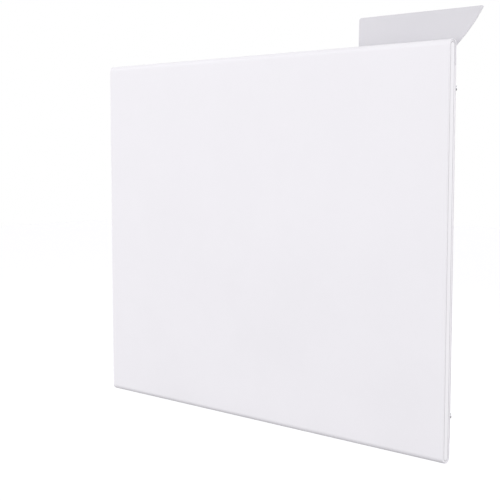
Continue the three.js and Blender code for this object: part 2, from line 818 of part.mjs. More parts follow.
// Lid, drawn upright with the hinge axis at its origin
function lid() {
  const outer = lidOffset + lidThickness;
  const reach = hingeY - (panelRearY + lidFrontGap);
  const section = new THREE.Shape();
  section.moveTo(0, 0);
  section.absarc(0, outer, outer, -Math.PI / 2, 0, false);
  section.lineTo(outer, reach);
  section.lineTo(lidOffset, reach);
  section.lineTo(lidOffset, outer);
  section.absarc(0, outer, lidOffset, 0, -Math.PI / 2, true);
  const leftX = podLeftX - seatGap - earThickness;
  const sheet = alongX(section, leftX, halfWidth + overrun);
  const barrel = rodAlongX(
    innerBossEndX + seatGap, outerBossX - seatGap, 0, 0, hingeRadius, roundSides);
  const endX = (height) => endXAt(hingeY - height) - lidEndInset * endSecant;
  const face = new THREE.Shape();
  face.moveTo(leftX, -hingeRadius);
  face.lineTo(endX(-hingeRadius), -hingeRadius);
  face.quadraticCurveTo(
    endX(reach / 2) + lidBow, reach / 2, endX(reach - lidCorner), reach - lidCorner);
  face.quadraticCurveTo(endX(reach), reach, endX(reach) - lidCorner, reach);
  face.lineTo(leftX + lidCorner, reach);
  face.absarc(leftX + lidCorner, reach - lidCorner, lidCorner, Math.PI / 2, Math.PI, false);
  const trimmed = common(sheet, alongY(face, -outer, outer + overrun, cornerSegments));
  const earBottomZ = hingeDrop + seatGap;
  const earSection = new THREE.Shape();
  earSection.moveTo(lidOffset + lidThickness / 2, earBottomZ);
  earSection.lineTo(lidOffset + lidThickness / 2, earRise);
  earSection.lineTo(lidOffset, earRise);
  earSection.quadraticCurveTo(lidOffset, earBottomZ + earTip, -earReach, earBottomZ + earTip);
  earSection.lineTo(-earReach, earBottomZ);
  const ear = alongX(earSection, leftX, leftX + earThickness);
  const bossRoom = hingeRadius + bossClearance;
  const reliefs = [
    rodAlongX(podLeftX - overrun, innerBossEndX + seatGap, 0, 0, bossRoom, roundSides),
    rodAlongX(outerBossX - seatGap, halfWidth, 0, 0, bossRoom, roundSides),
  ];
  const bore = rodAlongX(podLeftX - overrun, halfWidth, 0, 0, rodRadius + seatGap, smallSides);
  return cut(join(cut(join(trimmed, ear), toolSet(reliefs)), barrel), bore);
}

// Rocker switch: body with a well, bezel and spade terminals
const pivotX = switchFaceX - pivotDrop;
const wellHalfZ = bodyHalfZ - seatGap - switchWall;
const wellHalfY = bodyHalfY - seatGap - switchWall;

function switchBody() {
  const backX = switchFaceX - bezelThickness - switchDepth;
  const halfZ = bodyHalfZ - seatGap;
  const halfY = bodyHalfY - seatGap;
  const body = block(
    backX, switchFaceX, switchY - halfY, switchY + halfY, switchZ - halfZ, switchZ + halfZ);
  const bezel = block(
    switchFaceX - bezelThickness, switchFaceX, switchY - switchWidth / 2, switchY + switchWidth / 2,
    switchZ - switchHeight / 2, switchZ + switchHeight / 2);
  const spades = [-1, 0, 1].map((i) => block(
    backX - spadeLength, backX + switchWall, switchY - spadeWidth / 2, switchY + spadeWidth / 2,
    switchZ + i * spadePitch - spadeThickness / 2, switchZ + i * spadePitch + spadeThickness / 2));
  const well = block(
    switchFaceX - wellDepth, switchFaceX + overrun, switchY - wellHalfY, switchY + wellHalfY,
    switchZ - wellHalfZ, switchZ + wellHalfZ);
  const bearing = rodAlongY(
    switchY - wellHalfY - switchWall / 2 - pivotReach, switchY + wellHalfY + switchWall / 2 + pivotReach,
    pivotX, switchZ, pivotRadius + seatGap);
  return cut(join(body, bezel, ...spades), well, bearing);
}

// Rocker, drawn level with its pivot at the origin
function rocker() {
  const radius = wellHalfZ - rockerClearance;
  const halfY = wellHalfY - rockerClearance;
  const corner = THREE.MathUtils.degToRad(rockerCorner);
  const tail = THREE.MathUtils.degToRad(rockerTail);
  const section = new THREE.Shape();
  section.moveTo(pivotDrop + rockerValley, 0);
  section.lineTo(radius * Math.sin(corner), radius * Math.cos(corner));
  section.absarc(0, 0, radius, Math.PI / 2 - corner, Math.PI / 2 + tail, false);
  section.lineTo(-rockerBack, rockerBackHalf);
  section.lineTo(-rockerBack, -rockerBackHalf);
  section.absarc(0, 0, radius, -Math.PI / 2 - tail, -Math.PI / 2 + corner, false);
  const body = alongY(section, -halfY, halfY, cornerSegments);
  const reach = halfY + rockerClearance + pivotReach;
  return join(body, rodAlongY(-reach, reach, 0, 0, pivotRadius));
}

// Heating element: a core with radial fins, hung between two insulators
const elementX0 = -halfWidth + elementFromLeft;
const elementX1 = halfWidth - elementFromRight;
const shieldY = rearY - rearSheet - seatGap - shieldStandOff;
const elementY = (housingFrontY + shieldY) / 2;
const elementZ = -elementDrop;
const elementRadius = (shieldY - housingFrontY) / 2 - elementClearance;

function heatingElement() {
  const section = new THREE.Shape();
  const half = Math.asin(finThickness / 2 / elementCore);
  const tip = Math.asin(finThickness / 2 / elementRadius);
  for (let i = 0; i < finCount; i += 1) {
    const angle = i * Math.PI * 2 / finCount;
    for (const [radius, turn] of [
      [elementCore, -half], [elementRadius, -tip], [elementRadius, tip], [elementCore, half]]) {
      const u = radius * Math.cos(angle + turn);
      const v = radius * Math.sin(angle + turn);
      if (i === 0 && turn === -half) section.moveTo(u, v);
      else section.lineTo(u, v);
    }
  }
  return alongX(section, elementX0, elementX1).translate(0, elementY, elementZ);
}

function insulator() {
  const neck = insulatorRadius - insulatorCollar / 2;
  return turned([
    [0, 0],
    [insulatorRadius + insulatorCollar, 0],
    [insulatorRadius + insulatorCollar, insulatorCollar],
    [insulatorRadius, insulatorCollar],
    [insulatorRadius, insulatorLength - insulatorCollar],
    [neck, insulatorLength],
    [0, insulatorLength],
  ]);
}

// Bracket plate round an insulator, with a foot on the rear cover
function elementBracket(x, direction) {
  const backY = rearY - rearSheet - seatGap;
  const x1 = x + direction * bracketSheet;
  const footX = x + direction * bracketFoot;
  const plate = block(
    Math.min(x, x1), Math.max(x, x1), elementY - bracketReach, backY,
    elementZ - bracketHeight / 2, elementZ + bracketHeight / 2);
  const foot = block(
    Math.min(x, footX), Math.max(x, footX), backY - bracketSheet, backY,
    elementZ - bracketHeight / 2, elementZ + bracketHeight / 2);
  const hole = rodAlongX(
    Math.min(x, x1) - overrun, Math.max(x, x1) + overrun, elementY, elementZ,
    insulatorRadius + seatGap, roundSides);
  return cut(join(plate, foot), hole);
}

// Heat shield between the element and the rear cover, standing off on two feet
function heatShield() {
  const backY = rearY - rearSheet - seatGap;
  const x0 = elementX0 + bracketFoot;
  const x1 = elementX1 - bracketFoot;
  const bottomZ = elementZ - elementRadius - shieldLip;
  const topOfShield = bottomZ + shieldHeight;
  const section = outline([
    [backY, bottomZ],
    [backY, bottomZ + shieldFoot],
    [backY - shieldSheet, bottomZ + shieldFoot],
    [backY - shieldSheet, bottomZ + shieldSheet],
    [shieldY + shieldSheet, bottomZ + shieldSheet],
    [shieldY + shieldSheet, topOfShield - shieldSheet],
    [backY - shieldSheet, topOfShield - shieldSheet],
    [backY - shieldSheet, topOfShield - shieldFoot],
    [backY, topOfShield - shieldFoot],
    [backY, topOfShield],
    [shieldY, topOfShield],
    [shieldY, bottomZ],
  ]);
  return alongX(section, x0, x1);
}

function thermalCutout() {
  const disc = turned([
    [0, 0],
    [cutoutFlange, 0],
    [cutoutFlange, cutoutFlangeThickness],
    [cutoutRadius, cutoutFlangeThickness],
    [cutoutRadius, cutoutDepth],
    [0, cutoutDepth],
  ]);
  return disc.rotateX(Math.PI / 2).translate(0, shieldY - seatGap, elementZ + cutoutAboveElement);
}

// Baffle: keeps the warm air out of the pod and the electrics
const baffleX = halfWidth - baffleFromEnd;
const baffleTopZ = podBottomZ - baffleBelowPod;
const baffleFrontY = housingFrontY + housingWall + seatGap;
const baffleRearY = rearY - rearSheet - seatGap;

function controlBaffle() {
  const bottomZ = -coverTopZ + grilleFlange + baffleEdge;
  const section = outline([
    [podLeftX, baffleTopZ],
    [podLeftX, baffleTopZ - baffleSheet],
    [baffleX - baffleSheet, baffleTopZ - baffleSheet],
    [baffleX - baffleSheet, bottomZ],
    [baffleX, bottomZ],
    [baffleX, baffleTopZ],
  ]);
  const insulatorHole = rodAlongX(
    baffleX - overrun, baffleX + overrun, elementY, elementZ, insulatorRadius + seatGap, roundSides);
  return cut(alongY(section, baffleFrontY, baffleRearY), insulatorHole);
}

const boardX0 = baffleX + seatGap;
const powerTopZ = baffleTopZ - powerBoardFromTop;
const powerFaceX = boardX0 + boardThickness + seatGap;
const relayTopZ = powerTopZ - pieceSpacing;
const coilTopZ = relayTopZ - relayLength - pieceSpacing;
const electricsY = (baffleFrontY + baffleRearY) / 2;

function powerBoard() {
  return block(
    boardX0, boardX0 + boardThickness, baffleFrontY + powerBoardEdge, baffleRearY - powerBoardEdge,
    powerTopZ - powerBoardHeight, powerTopZ);
}

function relay() {
  return block(
    powerFaceX, powerFaceX + relayHeight, electricsY - relayWidth / 2, electricsY + relayWidth / 2,
    relayTopZ - relayLength, relayTopZ);
}

function transformer() {
  return block(
    powerFaceX, powerFaceX + coilHeight, electricsY - coilWidth / 2, electricsY + coilWidth / 2,
    coilTopZ - coilLength, coilTopZ);
}

const terminalTopZ = powerTopZ - powerBoardHeight - terminalBelowBoard;

function terminalBlock() {
  const body = block(
    boardX0, boardX0 + terminalHeight, electricsY - terminalWidth / 2, electricsY + terminalWidth / 2,
    terminalTopZ - terminalLength, terminalTopZ);
  const wells = [-1, 0, 1].map((i) => rodAlongX(
    boardX0 + terminalHeight - terminalWell, boardX0 + terminalHeight + overrun,
    electricsY, terminalTopZ - terminalLength / 2 + i * terminalLength / 3, terminalWellRadius));
  return cut(body, toolSet(wells));
}

function temperatureProbe() {
  const bottomZ = -grilleRearZ + probeFromBottom;
  return rodAlongZ(
    bottomZ, bottomZ + probeLength, boardX0 + probeRadius, electricsY, probeRadius);
}

// Wall bracket
function wallBracket() {
  const frontY = rearY + bracketRelief;
  const halfHeight = uprightHeight / 2;
  const plates = [];
  const holes = [];
  for (const side of [-1, 1]) {
    const x = side * uprightSpacing / 2;
    const x0 = x - uprightWidth / 2;
    const x1 = x + uprightWidth / 2;
    plates.push(block(x0, x1, -bracketSteel, 0, -halfHeight, halfHeight));
    const innerX = side < 0 ? x1 : x0 + bracketSteel;
    plates.push(block(innerX - bracketSteel, innerX, frontY, 0, -halfHeight, halfHeight));
    for (const z of [halfHeight - wallHoleInset, wallHoleInset - halfHeight]) {
      holes.push(rodAlongY(-bracketSteel - overrun, overrun, x, z, wallHoleRadius));
    }
  }
  for (const x of hookPlanes()) {
    plates.push(alongX(hookedFlange(frontY), x - bracketSteel / 2, x + bracketSteel / 2));
  }
  const barX = uprightSpacing / 2 - uprightWidth / 2 + bracketSteel;
  plates.push(block(-barX, barX, -bracketSteel, 0, -crossbarHeight / 2, crossbarHeight / 2));
  return cut(join(...plates), toolSet(holes));
}

// Flange of an upright, with a hook near each end that the rear cover hangs on
function hookedFlange(frontY) {
  const halfHeight = uprightHeight / 2;
  const insideY = rearY - rearSheet - seatGap;
  const points = [[0, -halfHeight], [0, halfHeight], [frontY, halfHeight]];
  for (const z of hookHeights()) {
    const neckTopZ = z - seatGap;
    points.push(
      [frontY, neckTopZ],
      [insideY, neckTopZ],
      [insideY, neckTopZ + hookRise],
      [insideY - hookDepth, neckTopZ + hookRise],
      [insideY - hookDepth, neckTopZ - hookNeck],
      [frontY, neckTopZ - hookNeck],
    );
  }
  points.push([frontY, -halfHeight]);
  return outline(points);
}

// Pan head screw along +Z, its head's seat at the origin
function screw(length) {
  return turned([
    [0, -length],
    [screwShankRadius, -length],
    [screwShankRadius, 0],
    [screwHeadRadius, 0],
    [screwHeadRadius, screwHeadHeight / 2],
    [screwCrownRadius, screwHeadHeight],
    [0, screwHeadHeight],
  ], smallSides);
}

// Colours, from the photograph
const white = finish(0xeeecf1, 0.38);
const whitePlastic = finish(0xe4e2e8, 0.5);
const fasciaGrey = finish(0xd9d8df, 0.45);
const keyWhite = finish(0xf1f1f6, 0.4);
const ivory = finish(0xf1ead8, 0.4);
const steel = finish(0xb9bcc0, 0.35, 0.9);
const aluminium = finish(0xc9ccd0, 0.4, 0.9);
const blackGlass = finish(0x14122a, 0.15);
const blueLens = finish(0x3b3bd0, 0.25);
const darkPlastic = finish(0x26262a, 0.55);
const boardGreen = finish(0x1f5b3a, 0.6);
const ceramic = finish(0xe9e2d2, 0.6);

add('front_panel', frontPanel(), white);
add('end_cap_right', endCap(), whitePlastic);
add('end_cap_left', leftToRight(endCap()), whitePlastic);
add('side_housing_right', rightHousing(boardTopZ), whitePlastic);
add('side_housing_left', leftToRight(cut(endShell(endBody()), toolSet(sideScrewHoles()))), whitePlastic);
add('rear_cover', rearCover(), white);
add('outlet_grille', grille(-splitX + seatGap, podLeftX - seatGap), white);
add('intake_grille', topToBottom(grille(-splitX + seatGap, splitX - seatGap)), white);

add('control_fascia', fascia(), fasciaGrey);
for (const [name, x, y] of buttons) add(name, button(x, y), keyWhite);
lampPlaces().forEach((x, i) => add(`lamp_${i + 1}`, lamp(x), blueLens));
add('display_glass', block(
  displayX - displayWidth / 2, displayX + displayWidth / 2,
  displayY - displayHeight / 2, displayY + displayHeight / 2,
  fasciaTopZ - displayGlass, fasciaTopZ), blackGlass);
add('display_module', block(
  displayX - displayWidth / 2 + displayBezel, displayX + displayWidth / 2 - displayBezel,
  displayY - displayHeight / 2 + displayBezel, displayY + displayHeight / 2 - displayBezel,
  boardTopZ + seatGap, fasciaTopZ - displayGlass - seatGap), darkPlastic);
add('control_board', controlBoard(), boardGreen);

const lidGroup = new THREE.Group();
lidGroup.position.set(0, hingeY, hingeZ);
lidGroup.rotation.x = -THREE.MathUtils.degToRad(lidLean);
heater.add(lidGroup);
add('control_lid', lid(), whitePlastic, lidGroup);
add('lid_hinge_rod', rodAlongX(rodStartX, rodEndX, hingeY, hingeZ, rodRadius), steel);

add('switch_body', switchBody(), ivory);
const rockerGroup = new THREE.Group();
rockerGroup.position.set(pivotX, switchY, switchZ);
rockerGroup.rotation.y = -THREE.MathUtils.degToRad(rockerTilt);
heater.add(rockerGroup);
add('switch_rocker', rocker(), ivory, rockerGroup);

add('heating_element', heatingElement(), aluminium);
const insulatorRight = add('element_insulator_right', insulator(), ceramic);
insulatorRight.rotation.y = Math.PI / 2;
insulatorRight.position.set(elementX1 + seatGap, elementY, elementZ);
const insulatorLeft = add('element_insulator_left', insulator(), ceramic);
insulatorLeft.rotation.y = -Math.PI / 2;
insulatorLeft.position.set(elementX0 - seatGap, elementY, elementZ);
add('element_bracket_right', elementBracket(elementX1 + bracketSetback, -1), steel);
add('element_bracket_left', elementBracket(elementX0 - bracketSetback, 1), steel);
add('heat_shield', heatShield(), aluminium);
add('thermal_cutout', thermalCutout(), darkPlastic);
add('control_baffle', controlBaffle(), steel);
add('power_board', powerBoard(), boardGreen);
add('relay', relay(), darkPlastic);
add('transformer', transformer(), darkPlastic);
add('terminal_block', terminalBlock(), ivory);
add('temperature_probe', temperatureProbe(), steel);
add('cable_gland', cableGland(), darkPlastic);
add('wall_bracket', wallBracket(), steel);

const screwNames = ['lower', 'middle', 'upper'];
for (const [side, sign] of [['left', -1], ['right', 1]]) {
  rearScrewHeights().forEach((z, i) => {
    const piece = add(`rear_screw_${side}_${screwNames[i]}`, screw(rearScrewLength), steel);
    piece.rotation.x = -Math.PI / 2;
    piece.position.set(sign * (splitX - ledgeWidth / 2), rearY + seatGap, z);
  });
  sideScrewHeights().forEach((z, i) => {
    const place = sideScrewPlace();
    const piece = add(`side_screw_${side}_${i ? 'lower' : 'upper'}`, screw(sideScrewLength), steel);
    const out = new THREE.Vector3(sign * housingDepth, endRun, 0).normalize();
    piece.quaternion.setFromUnitVectors(new THREE.Vector3(0, 0, 1), out);
    piece.position.set(sign * place.x, place.y, z).addScaledVector(out, seatGap);
  });
}

export default heater;
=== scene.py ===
import json
import math

import bmesh
import bpy
from mathutils import Matrix, Vector


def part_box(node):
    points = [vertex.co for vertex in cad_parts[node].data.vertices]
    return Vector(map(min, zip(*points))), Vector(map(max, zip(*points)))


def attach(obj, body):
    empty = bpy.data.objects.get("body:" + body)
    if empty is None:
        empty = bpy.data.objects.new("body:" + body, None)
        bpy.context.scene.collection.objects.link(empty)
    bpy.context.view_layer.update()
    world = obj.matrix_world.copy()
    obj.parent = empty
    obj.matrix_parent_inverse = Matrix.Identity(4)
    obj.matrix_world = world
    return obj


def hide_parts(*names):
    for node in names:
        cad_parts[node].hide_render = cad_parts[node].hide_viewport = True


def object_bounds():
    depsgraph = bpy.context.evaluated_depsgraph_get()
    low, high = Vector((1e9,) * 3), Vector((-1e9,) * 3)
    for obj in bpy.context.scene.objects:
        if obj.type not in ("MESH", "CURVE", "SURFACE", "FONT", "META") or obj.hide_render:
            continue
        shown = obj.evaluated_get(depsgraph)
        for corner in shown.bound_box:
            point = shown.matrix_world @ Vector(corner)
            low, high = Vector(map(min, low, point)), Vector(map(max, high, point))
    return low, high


# Slim electric panel heater, wall hung. Metres, +Z up, the front faces -Y.
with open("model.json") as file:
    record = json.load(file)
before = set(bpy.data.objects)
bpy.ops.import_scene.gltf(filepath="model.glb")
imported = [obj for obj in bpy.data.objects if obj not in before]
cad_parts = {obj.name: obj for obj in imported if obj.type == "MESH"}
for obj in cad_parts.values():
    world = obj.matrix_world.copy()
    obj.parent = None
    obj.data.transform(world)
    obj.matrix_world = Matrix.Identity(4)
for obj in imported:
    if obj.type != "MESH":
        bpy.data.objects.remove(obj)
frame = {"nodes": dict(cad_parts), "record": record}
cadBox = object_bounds()
nodes = frame["nodes"]
bodies = frame["record"]["behaviour"]["bodies"]
bodyOf = {node: body for body, members in bodies.items() for node in members}
print("frame loaded:", len(nodes), "nodes")


# small helpers

shaping = {
    "level": 1e-6,  # places this close are the same
    "weld": 0.000002,  # corners this close become one
    "rollShare": 0.9995,  # of the radius, so that two rolls don't run into each other
    "rollWeld": 0.00001,  # closes what that leaves open
    "coplanar": 0.6,  # degrees between the facets of one flat face
    "crease": 32,  # degrees from which an edge is softened and shaded as an edge
    "roomShare": 2.1,  # of the softening's width: how long the edges beside it are at least
    "facing": 0.9,  # part of a normal along a direction from which it counts as facing it
}


def selectOnly(piece):
    bpy.ops.object.select_all(action="DESELECT")
    piece.select_set(True)
    bpy.context.view_layer.objects.active = piece


def added(name):  # names the piece just made, and puts its place, turn and size into the mesh
    piece = bpy.context.active_object
    piece.name = name
    piece.data.name = name
    selectOnly(piece)
    bpy.ops.object.transform_apply(location=True, rotation=True, scale=True)
    return piece


def startEdit(piece):
    selectOnly(piece)
    bpy.ops.object.mode_set(mode="EDIT")


def endEdit():
    bpy.ops.object.mode_set(mode="OBJECT")


def choose(piece, kind, test):  # leaves only what passes the test selected, in edit mode
    bpy.ops.mesh.select_mode(type=kind)
    bpy.ops.mesh.select_all(action="DESELECT")
    shape = bmesh.from_edit_mesh(piece.data)
    items = {"VERT": shape.verts, "EDGE": shape.edges, "FACE": shape.faces}[kind]
    for item in items:
        if test(item):
            item.select_set(True)
    bmesh.update_edit_mesh(piece.data)


def middleOf(item):
    places = [v.co for v in item.verts]
    return sum(places, Vector()) / len(places)


def same(one, other):
    return abs(one - other) < shaping["level"]


def facing(face, x=0, y=0, z=0):
    return face.normal.dot(Vector((x, y, z))) > shaping["facing"]


def runsAlongX(edge):
    run = edge.verts[0].co - edge.verts[1].co
    return abs(run.x) > shaping["facing"] * run.length


def newBox(name, low, high):
    centre = (Vector(low) + Vector(high)) / 2
    size = Vector(high) - Vector(low)
    bpy.ops.mesh.primitive_cube_add(size=1, location=centre, scale=size)
    return added(name)


def newCylinder(name, radius, bottom, top, sides):
    bpy.ops.mesh.primitive_cylinder_add(
        vertices=sides, radius=radius, depth=top - bottom, location=(0, 0, (top + bottom) / 2))
    return added(name)


def cutAcross(direction, distance):  # cuts all of the mesh in edit mode, on both sides of its middle
    for sign in (-1, 1):
        bpy.ops.mesh.select_all(action="SELECT")
        bpy.ops.mesh.bisect(plane_co=direction * sign * distance, plane_no=direction)


def rolled(radius, segments):  # rounds the chosen edges half round, in edit mode
    bpy.ops.mesh.bevel(
        offset=radius * shaping["rollShare"], segments=segments, profile=0.5, affect="EDGES")
    bpy.ops.mesh.select_all(action="SELECT")
    bpy.ops.mesh.remove_doubles(threshold=shaping["rollWeld"])


def applied(piece, kind, **values):  # adds a modifier and applies it
    selectOnly(piece)
    modifier = piece.modifiers.new(kind.lower(), kind)
    for key, value in values.items():
        setattr(modifier, key, value)
    bpy.ops.object.modifier_apply(modifier=modifier.name)
    return piece


def softened(piece, width, segments, angle=shaping["crease"]):  # small radius along every crease
    return applied(
        piece, "BEVEL", width=width, segments=segments, limit_method="ANGLE",
        angle_limit=math.radians(angle), use_clamp_overlap=True, harden_normals=False)


def softenedOutside(piece, width, segments):  # only along outer creases that have room for it
    def roomy(edge):
        shortest = min(other.calc_length() for vert in edge.verts for other in vert.link_edges)
        return (edge.is_manifold and edge.is_convex
                and edge.calc_face_angle() > math.radians(shaping["crease"])
                and shortest > shaping["roomShare"] * width)
    startEdit(piece)
    choose(piece, "EDGE", roomy)
    bpy.ops.mesh.bevel(
        offset=width, segments=segments, profile=0.5, affect="EDGES", clamp_overlap=False)
    bpy.ops.mesh.select_all(action="SELECT")
    bpy.ops.mesh.remove_doubles(threshold=shaping["weld"])
    endEdit()
    return piece


def smoothed(piece, angle=shaping["crease"]):
    selectOnly(piece)
    bpy.ops.object.shade_smooth_by_angle(angle=math.radians(angle))
    return piece


def copied(source, name, matrix):  # a copy with its own mesh, moved there
    piece = bpy.data.objects.new(name, source.data.copy())
    bpy.context.scene.collection.objects.link(piece)
    piece.data.transform(matrix)
    piece.data.name = name
    return piece


def dressed(node):  # a CAD node's own shape, with its loose triangles joined to whole faces
    piece = bpy.data.objects.new(node + "_finished", nodes[node].data.copy())
    bpy.context.scene.collection.objects.link(piece)
    startEdit(piece)
    bpy.ops.mesh.select_all(action="SELECT")
    bpy.ops.mesh.remove_doubles(threshold=shaping["weld"])
    bpy.ops.mesh.dissolve_limited(angle_limit=math.radians(shaping["coplanar"]))
    endEdit()
    if piece.data.has_custom_normals:
        bpy.ops.mesh.customdata_custom_splitnormals_clear()
    return smoothed(piece)


def covered(piece, *materials):  # faces keep the number of their material
    kept = [face.material_index for face in piece.data.polygons]
    piece.data.materials.clear()
    for material in materials:
        piece.data.materials.append(material)
    for face, index in zip(piece.data.polygons, kept):
        face.material_index = index


def fitted(piece, node, slot, *materials):  # the piece stands for this node
    covered(piece, *materials)
    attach(piece, bodyOf[node])
    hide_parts(node)
    return piece


# shared shader effects

def newGroup(name, inputs, outputs):
    group = bpy.data.node_groups.new(name, "ShaderNodeTree")
    for label, value in inputs:
        socket = group.interface.new_socket(name=label, in_out="INPUT", socket_type="NodeSocketFloat")
        socket.default_value = value
    for label in outputs:
        group.interface.new_socket(name=label, in_out="OUTPUT", socket_type="NodeSocketFloat")
    start = group.nodes.new("NodeGroupInput")
    end = group.nodes.new("NodeGroupOutput")
    return group, start, end


def mathNode(tree, operation, first, second, clamp=False):
    node = tree.nodes.new("ShaderNodeMath")
    node.operation = operation
    node.use_clamp = clamp
    for socket, value in zip(node.inputs, (first, second)):
        if isinstance(value, (int, float)):
            socket.default_value = value
        else:
            tree.links.new(value, socket)
    return node.outputs[0]


def rangeNode(tree, value, low, high, newLow=0.0, newHigh=1.0):
    node = tree.nodes.new("ShaderNodeMapRange")
    tree.links.new(value, node.inputs["Value"])
    limits = {"From Min": low, "From Max": high, "To Min": newLow, "To Max": newHigh}
    for label, number in limits.items():
        node.inputs[label].default_value = number
    return node.outputs["Result"]


def noiseNode(tree, place, scale, detail, roughness=0.5):
    node = tree.nodes.new("ShaderNodeTexNoise")
    tree.links.new(place, node.inputs["Vector"])
    if isinstance(scale, (int, float)):
        node.inputs["Scale"].default_value = scale
    else:
        tree.links.new(scale, node.inputs["Scale"])
    node.inputs["Detail"].default_value = detail
    node.inputs["Roughness"].default_value = roughness
    return node.outputs["Fac"]


def placeGroup(tree, group, **values):
    node = tree.nodes.new("ShaderNodeGroup")
    node.node_tree = group
    for label, value in values.items():
        node.inputs[label].default_value = value
    return node


def mixColour(tree, mask, first, second):
    node = tree.nodes.new("ShaderNodeMix")
    node.data_type = "RGBA"
    tree.links.new(mask, node.inputs["Factor"])
    for socket, value in ((node.inputs[6], first), (node.inputs[7], second)):  # its two colours
        if isinstance(value, tuple):
            socket.default_value = (*value, 1)
        else:
            tree.links.new(value, socket)
    return node.outputs[2]


def scaledColour(colour, share, lift=0.0):
    return tuple(min(1.0, c * share + lift) for c in colour)


def newMaterial(name):
    material = bpy.data.materials.new(name)
    material.use_nodes = True
    return material, material.node_tree, material.node_tree.nodes["Principled BSDF"]


def addBump(tree, shader, height, depth):  # the surface rises and falls by up to this depth
    bump = tree.nodes.new("ShaderNodeBump")
    bump.inputs["Distance"].default_value = depth
    tree.links.new(height, bump.inputs["Height"])
    tree.links.new(bump.outputs["Normal"], shader.inputs["Normal"])


grainLook = {"fine": (3.0, 0.55), "wide": (9.0, 4.0, 0.6), "wideRange": (0.3, 0.7)}


def makeGrain():  # fine pebbled surface of paint and moulded plastic
    inputs = [("Scale", 900.0), ("Unevenness", 0.5)]
    group, start, end = newGroup("surfaceGrain", inputs, ["Height", "Mask"])
    place = group.nodes.new("ShaderNodeTexCoord").outputs["Object"]
    fine = noiseNode(group, place, start.outputs["Scale"], *grainLook["fine"])
    wide = noiseNode(group, place, *grainLook["wide"])
    part = mathNode(group, "MULTIPLY", wide, start.outputs["Unevenness"])
    group.links.new(mathNode(group, "ADD", fine, part), end.inputs["Height"])
    group.links.new(rangeNode(group, wide, *grainLook["wideRange"]), end.inputs["Mask"])
    return group


wearLook = {"samples": 4, "edgeRange": (0.995, 0.8), "breaks": (140.0, 4.0), "breakRange": (0.42, 0.66)}


def makeWear():  # handling marks and rubbed edges
    group, start, end = newGroup("edgeWear", [("Radius", 0.0006), ("Amount", 0.5)], ["Mask"])
    place = group.nodes.new("ShaderNodeTexCoord").outputs["Object"]
    rounded = group.nodes.new("ShaderNodeBevel")
    rounded.samples = wearLook["samples"]
    group.links.new(start.outputs["Radius"], rounded.inputs["Radius"])
    flat = group.nodes.new("ShaderNodeNewGeometry")
    product = group.nodes.new("ShaderNodeVectorMath")
    product.operation = "DOT_PRODUCT"
    group.links.new(rounded.outputs["Normal"], product.inputs[0])
    group.links.new(flat.outputs["Normal"], product.inputs[1])
    edge = rangeNode(group, product.outputs["Value"], *wearLook["edgeRange"])
    broken = rangeNode(group, noiseNode(group, place, *wearLook["breaks"]), *wearLook["breakRange"])
    worn = mathNode(group, "MULTIPLY", edge, broken)
    group.links.new(mathNode(group, "MULTIPLY", worn, start.outputs["Amount"], True), end.inputs["Mask"])
    return group


dustLook = {"upRange": (0.55, 0.98), "patches": (60.0, 6.0, 0.65), "patchRange": (0.35, 0.7),
            "thinnest": 0.1, "colour": (0.62, 0.6, 0.57), "roughness": 0.3}


def makeDust():  # thin dust on what faces up
    group, start, end = newGroup("settledDust", [("Amount", 0.3)], ["Mask"])
    coordinates = group.nodes.new("ShaderNodeTexCoord")
    parts = group.nodes.new("ShaderNodeSeparateXYZ")
    group.links.new(coordinates.outputs["Normal"], parts.inputs[0])
    facingUp = rangeNode(group, parts.outputs["Z"], *dustLook["upRange"])
    noise = noiseNode(group, coordinates.outputs["Object"], *dustLook["patches"])
    patches = rangeNode(group, noise, *dustLook["patchRange"], dustLook["thinnest"])
    layer = mathNode(group, "MULTIPLY", facingUp, patches)
    group.links.new(mathNode(group, "MULTIPLY", layer, start.outputs["Amount"], True), end.inputs["Mask"])
    return group


surfaceGrain = makeGrain()
edgeWear = makeWear()
settledDust = makeDust()


# finishes

mouldedLook = {"rubbedShare": 1.05, "rubbedLift": 0.01, "smoother": 0.03, "rougher": 0.05}


def moulded(name, colour, roughness, grain, shade, depth=0.00002, unevenness=0.3, wear=0.2,
            wearColour=None, dust=0.12, shine=0.5):
    material, tree, shader = newMaterial(name)
    texture = placeGroup(tree, surfaceGrain, Scale=grain, Unevenness=unevenness)
    base = mixColour(tree, texture.outputs["Mask"], scaledColour(colour, shade), colour)
    worn = placeGroup(tree, edgeWear, Amount=wear)
    rubbed = wearColour or scaledColour(colour, mouldedLook["rubbedShare"], mouldedLook["rubbedLift"])
    base = mixColour(tree, worn.outputs["Mask"], base, rubbed)
    film = placeGroup(tree, settledDust, Amount=dust)
    base = mixColour(tree, film.outputs["Mask"], base, dustLook["colour"])
    tree.links.new(base, shader.inputs["Base Color"])
    rough = rangeNode(tree, texture.outputs["Mask"], 0.0, 1.0, roughness - mouldedLook["smoother"],
                      roughness + mouldedLook["rougher"])
    dusty = mathNode(tree, "MULTIPLY", film.outputs["Mask"], dustLook["roughness"])
    tree.links.new(mathNode(tree, "ADD", rough, dusty, True), shader.inputs["Roughness"])
    addBump(tree, shader, texture.outputs["Height"], depth)
    shader.inputs["Specular IOR Level"].default_value = shine
    return material


metalLook = {"streaks": (1.0, 5.0, 0.6), "streakRange": (0.3, 0.7), "shadeShare": 0.82, "wear": 0.2,
             "rubbedShare": 1.25, "roughRange": (0.2, 0.8), "smoother": 0.08, "rougher": 0.12,
             "grain": 260.0, "unevenness": 0.6, "depth": 0.00002}


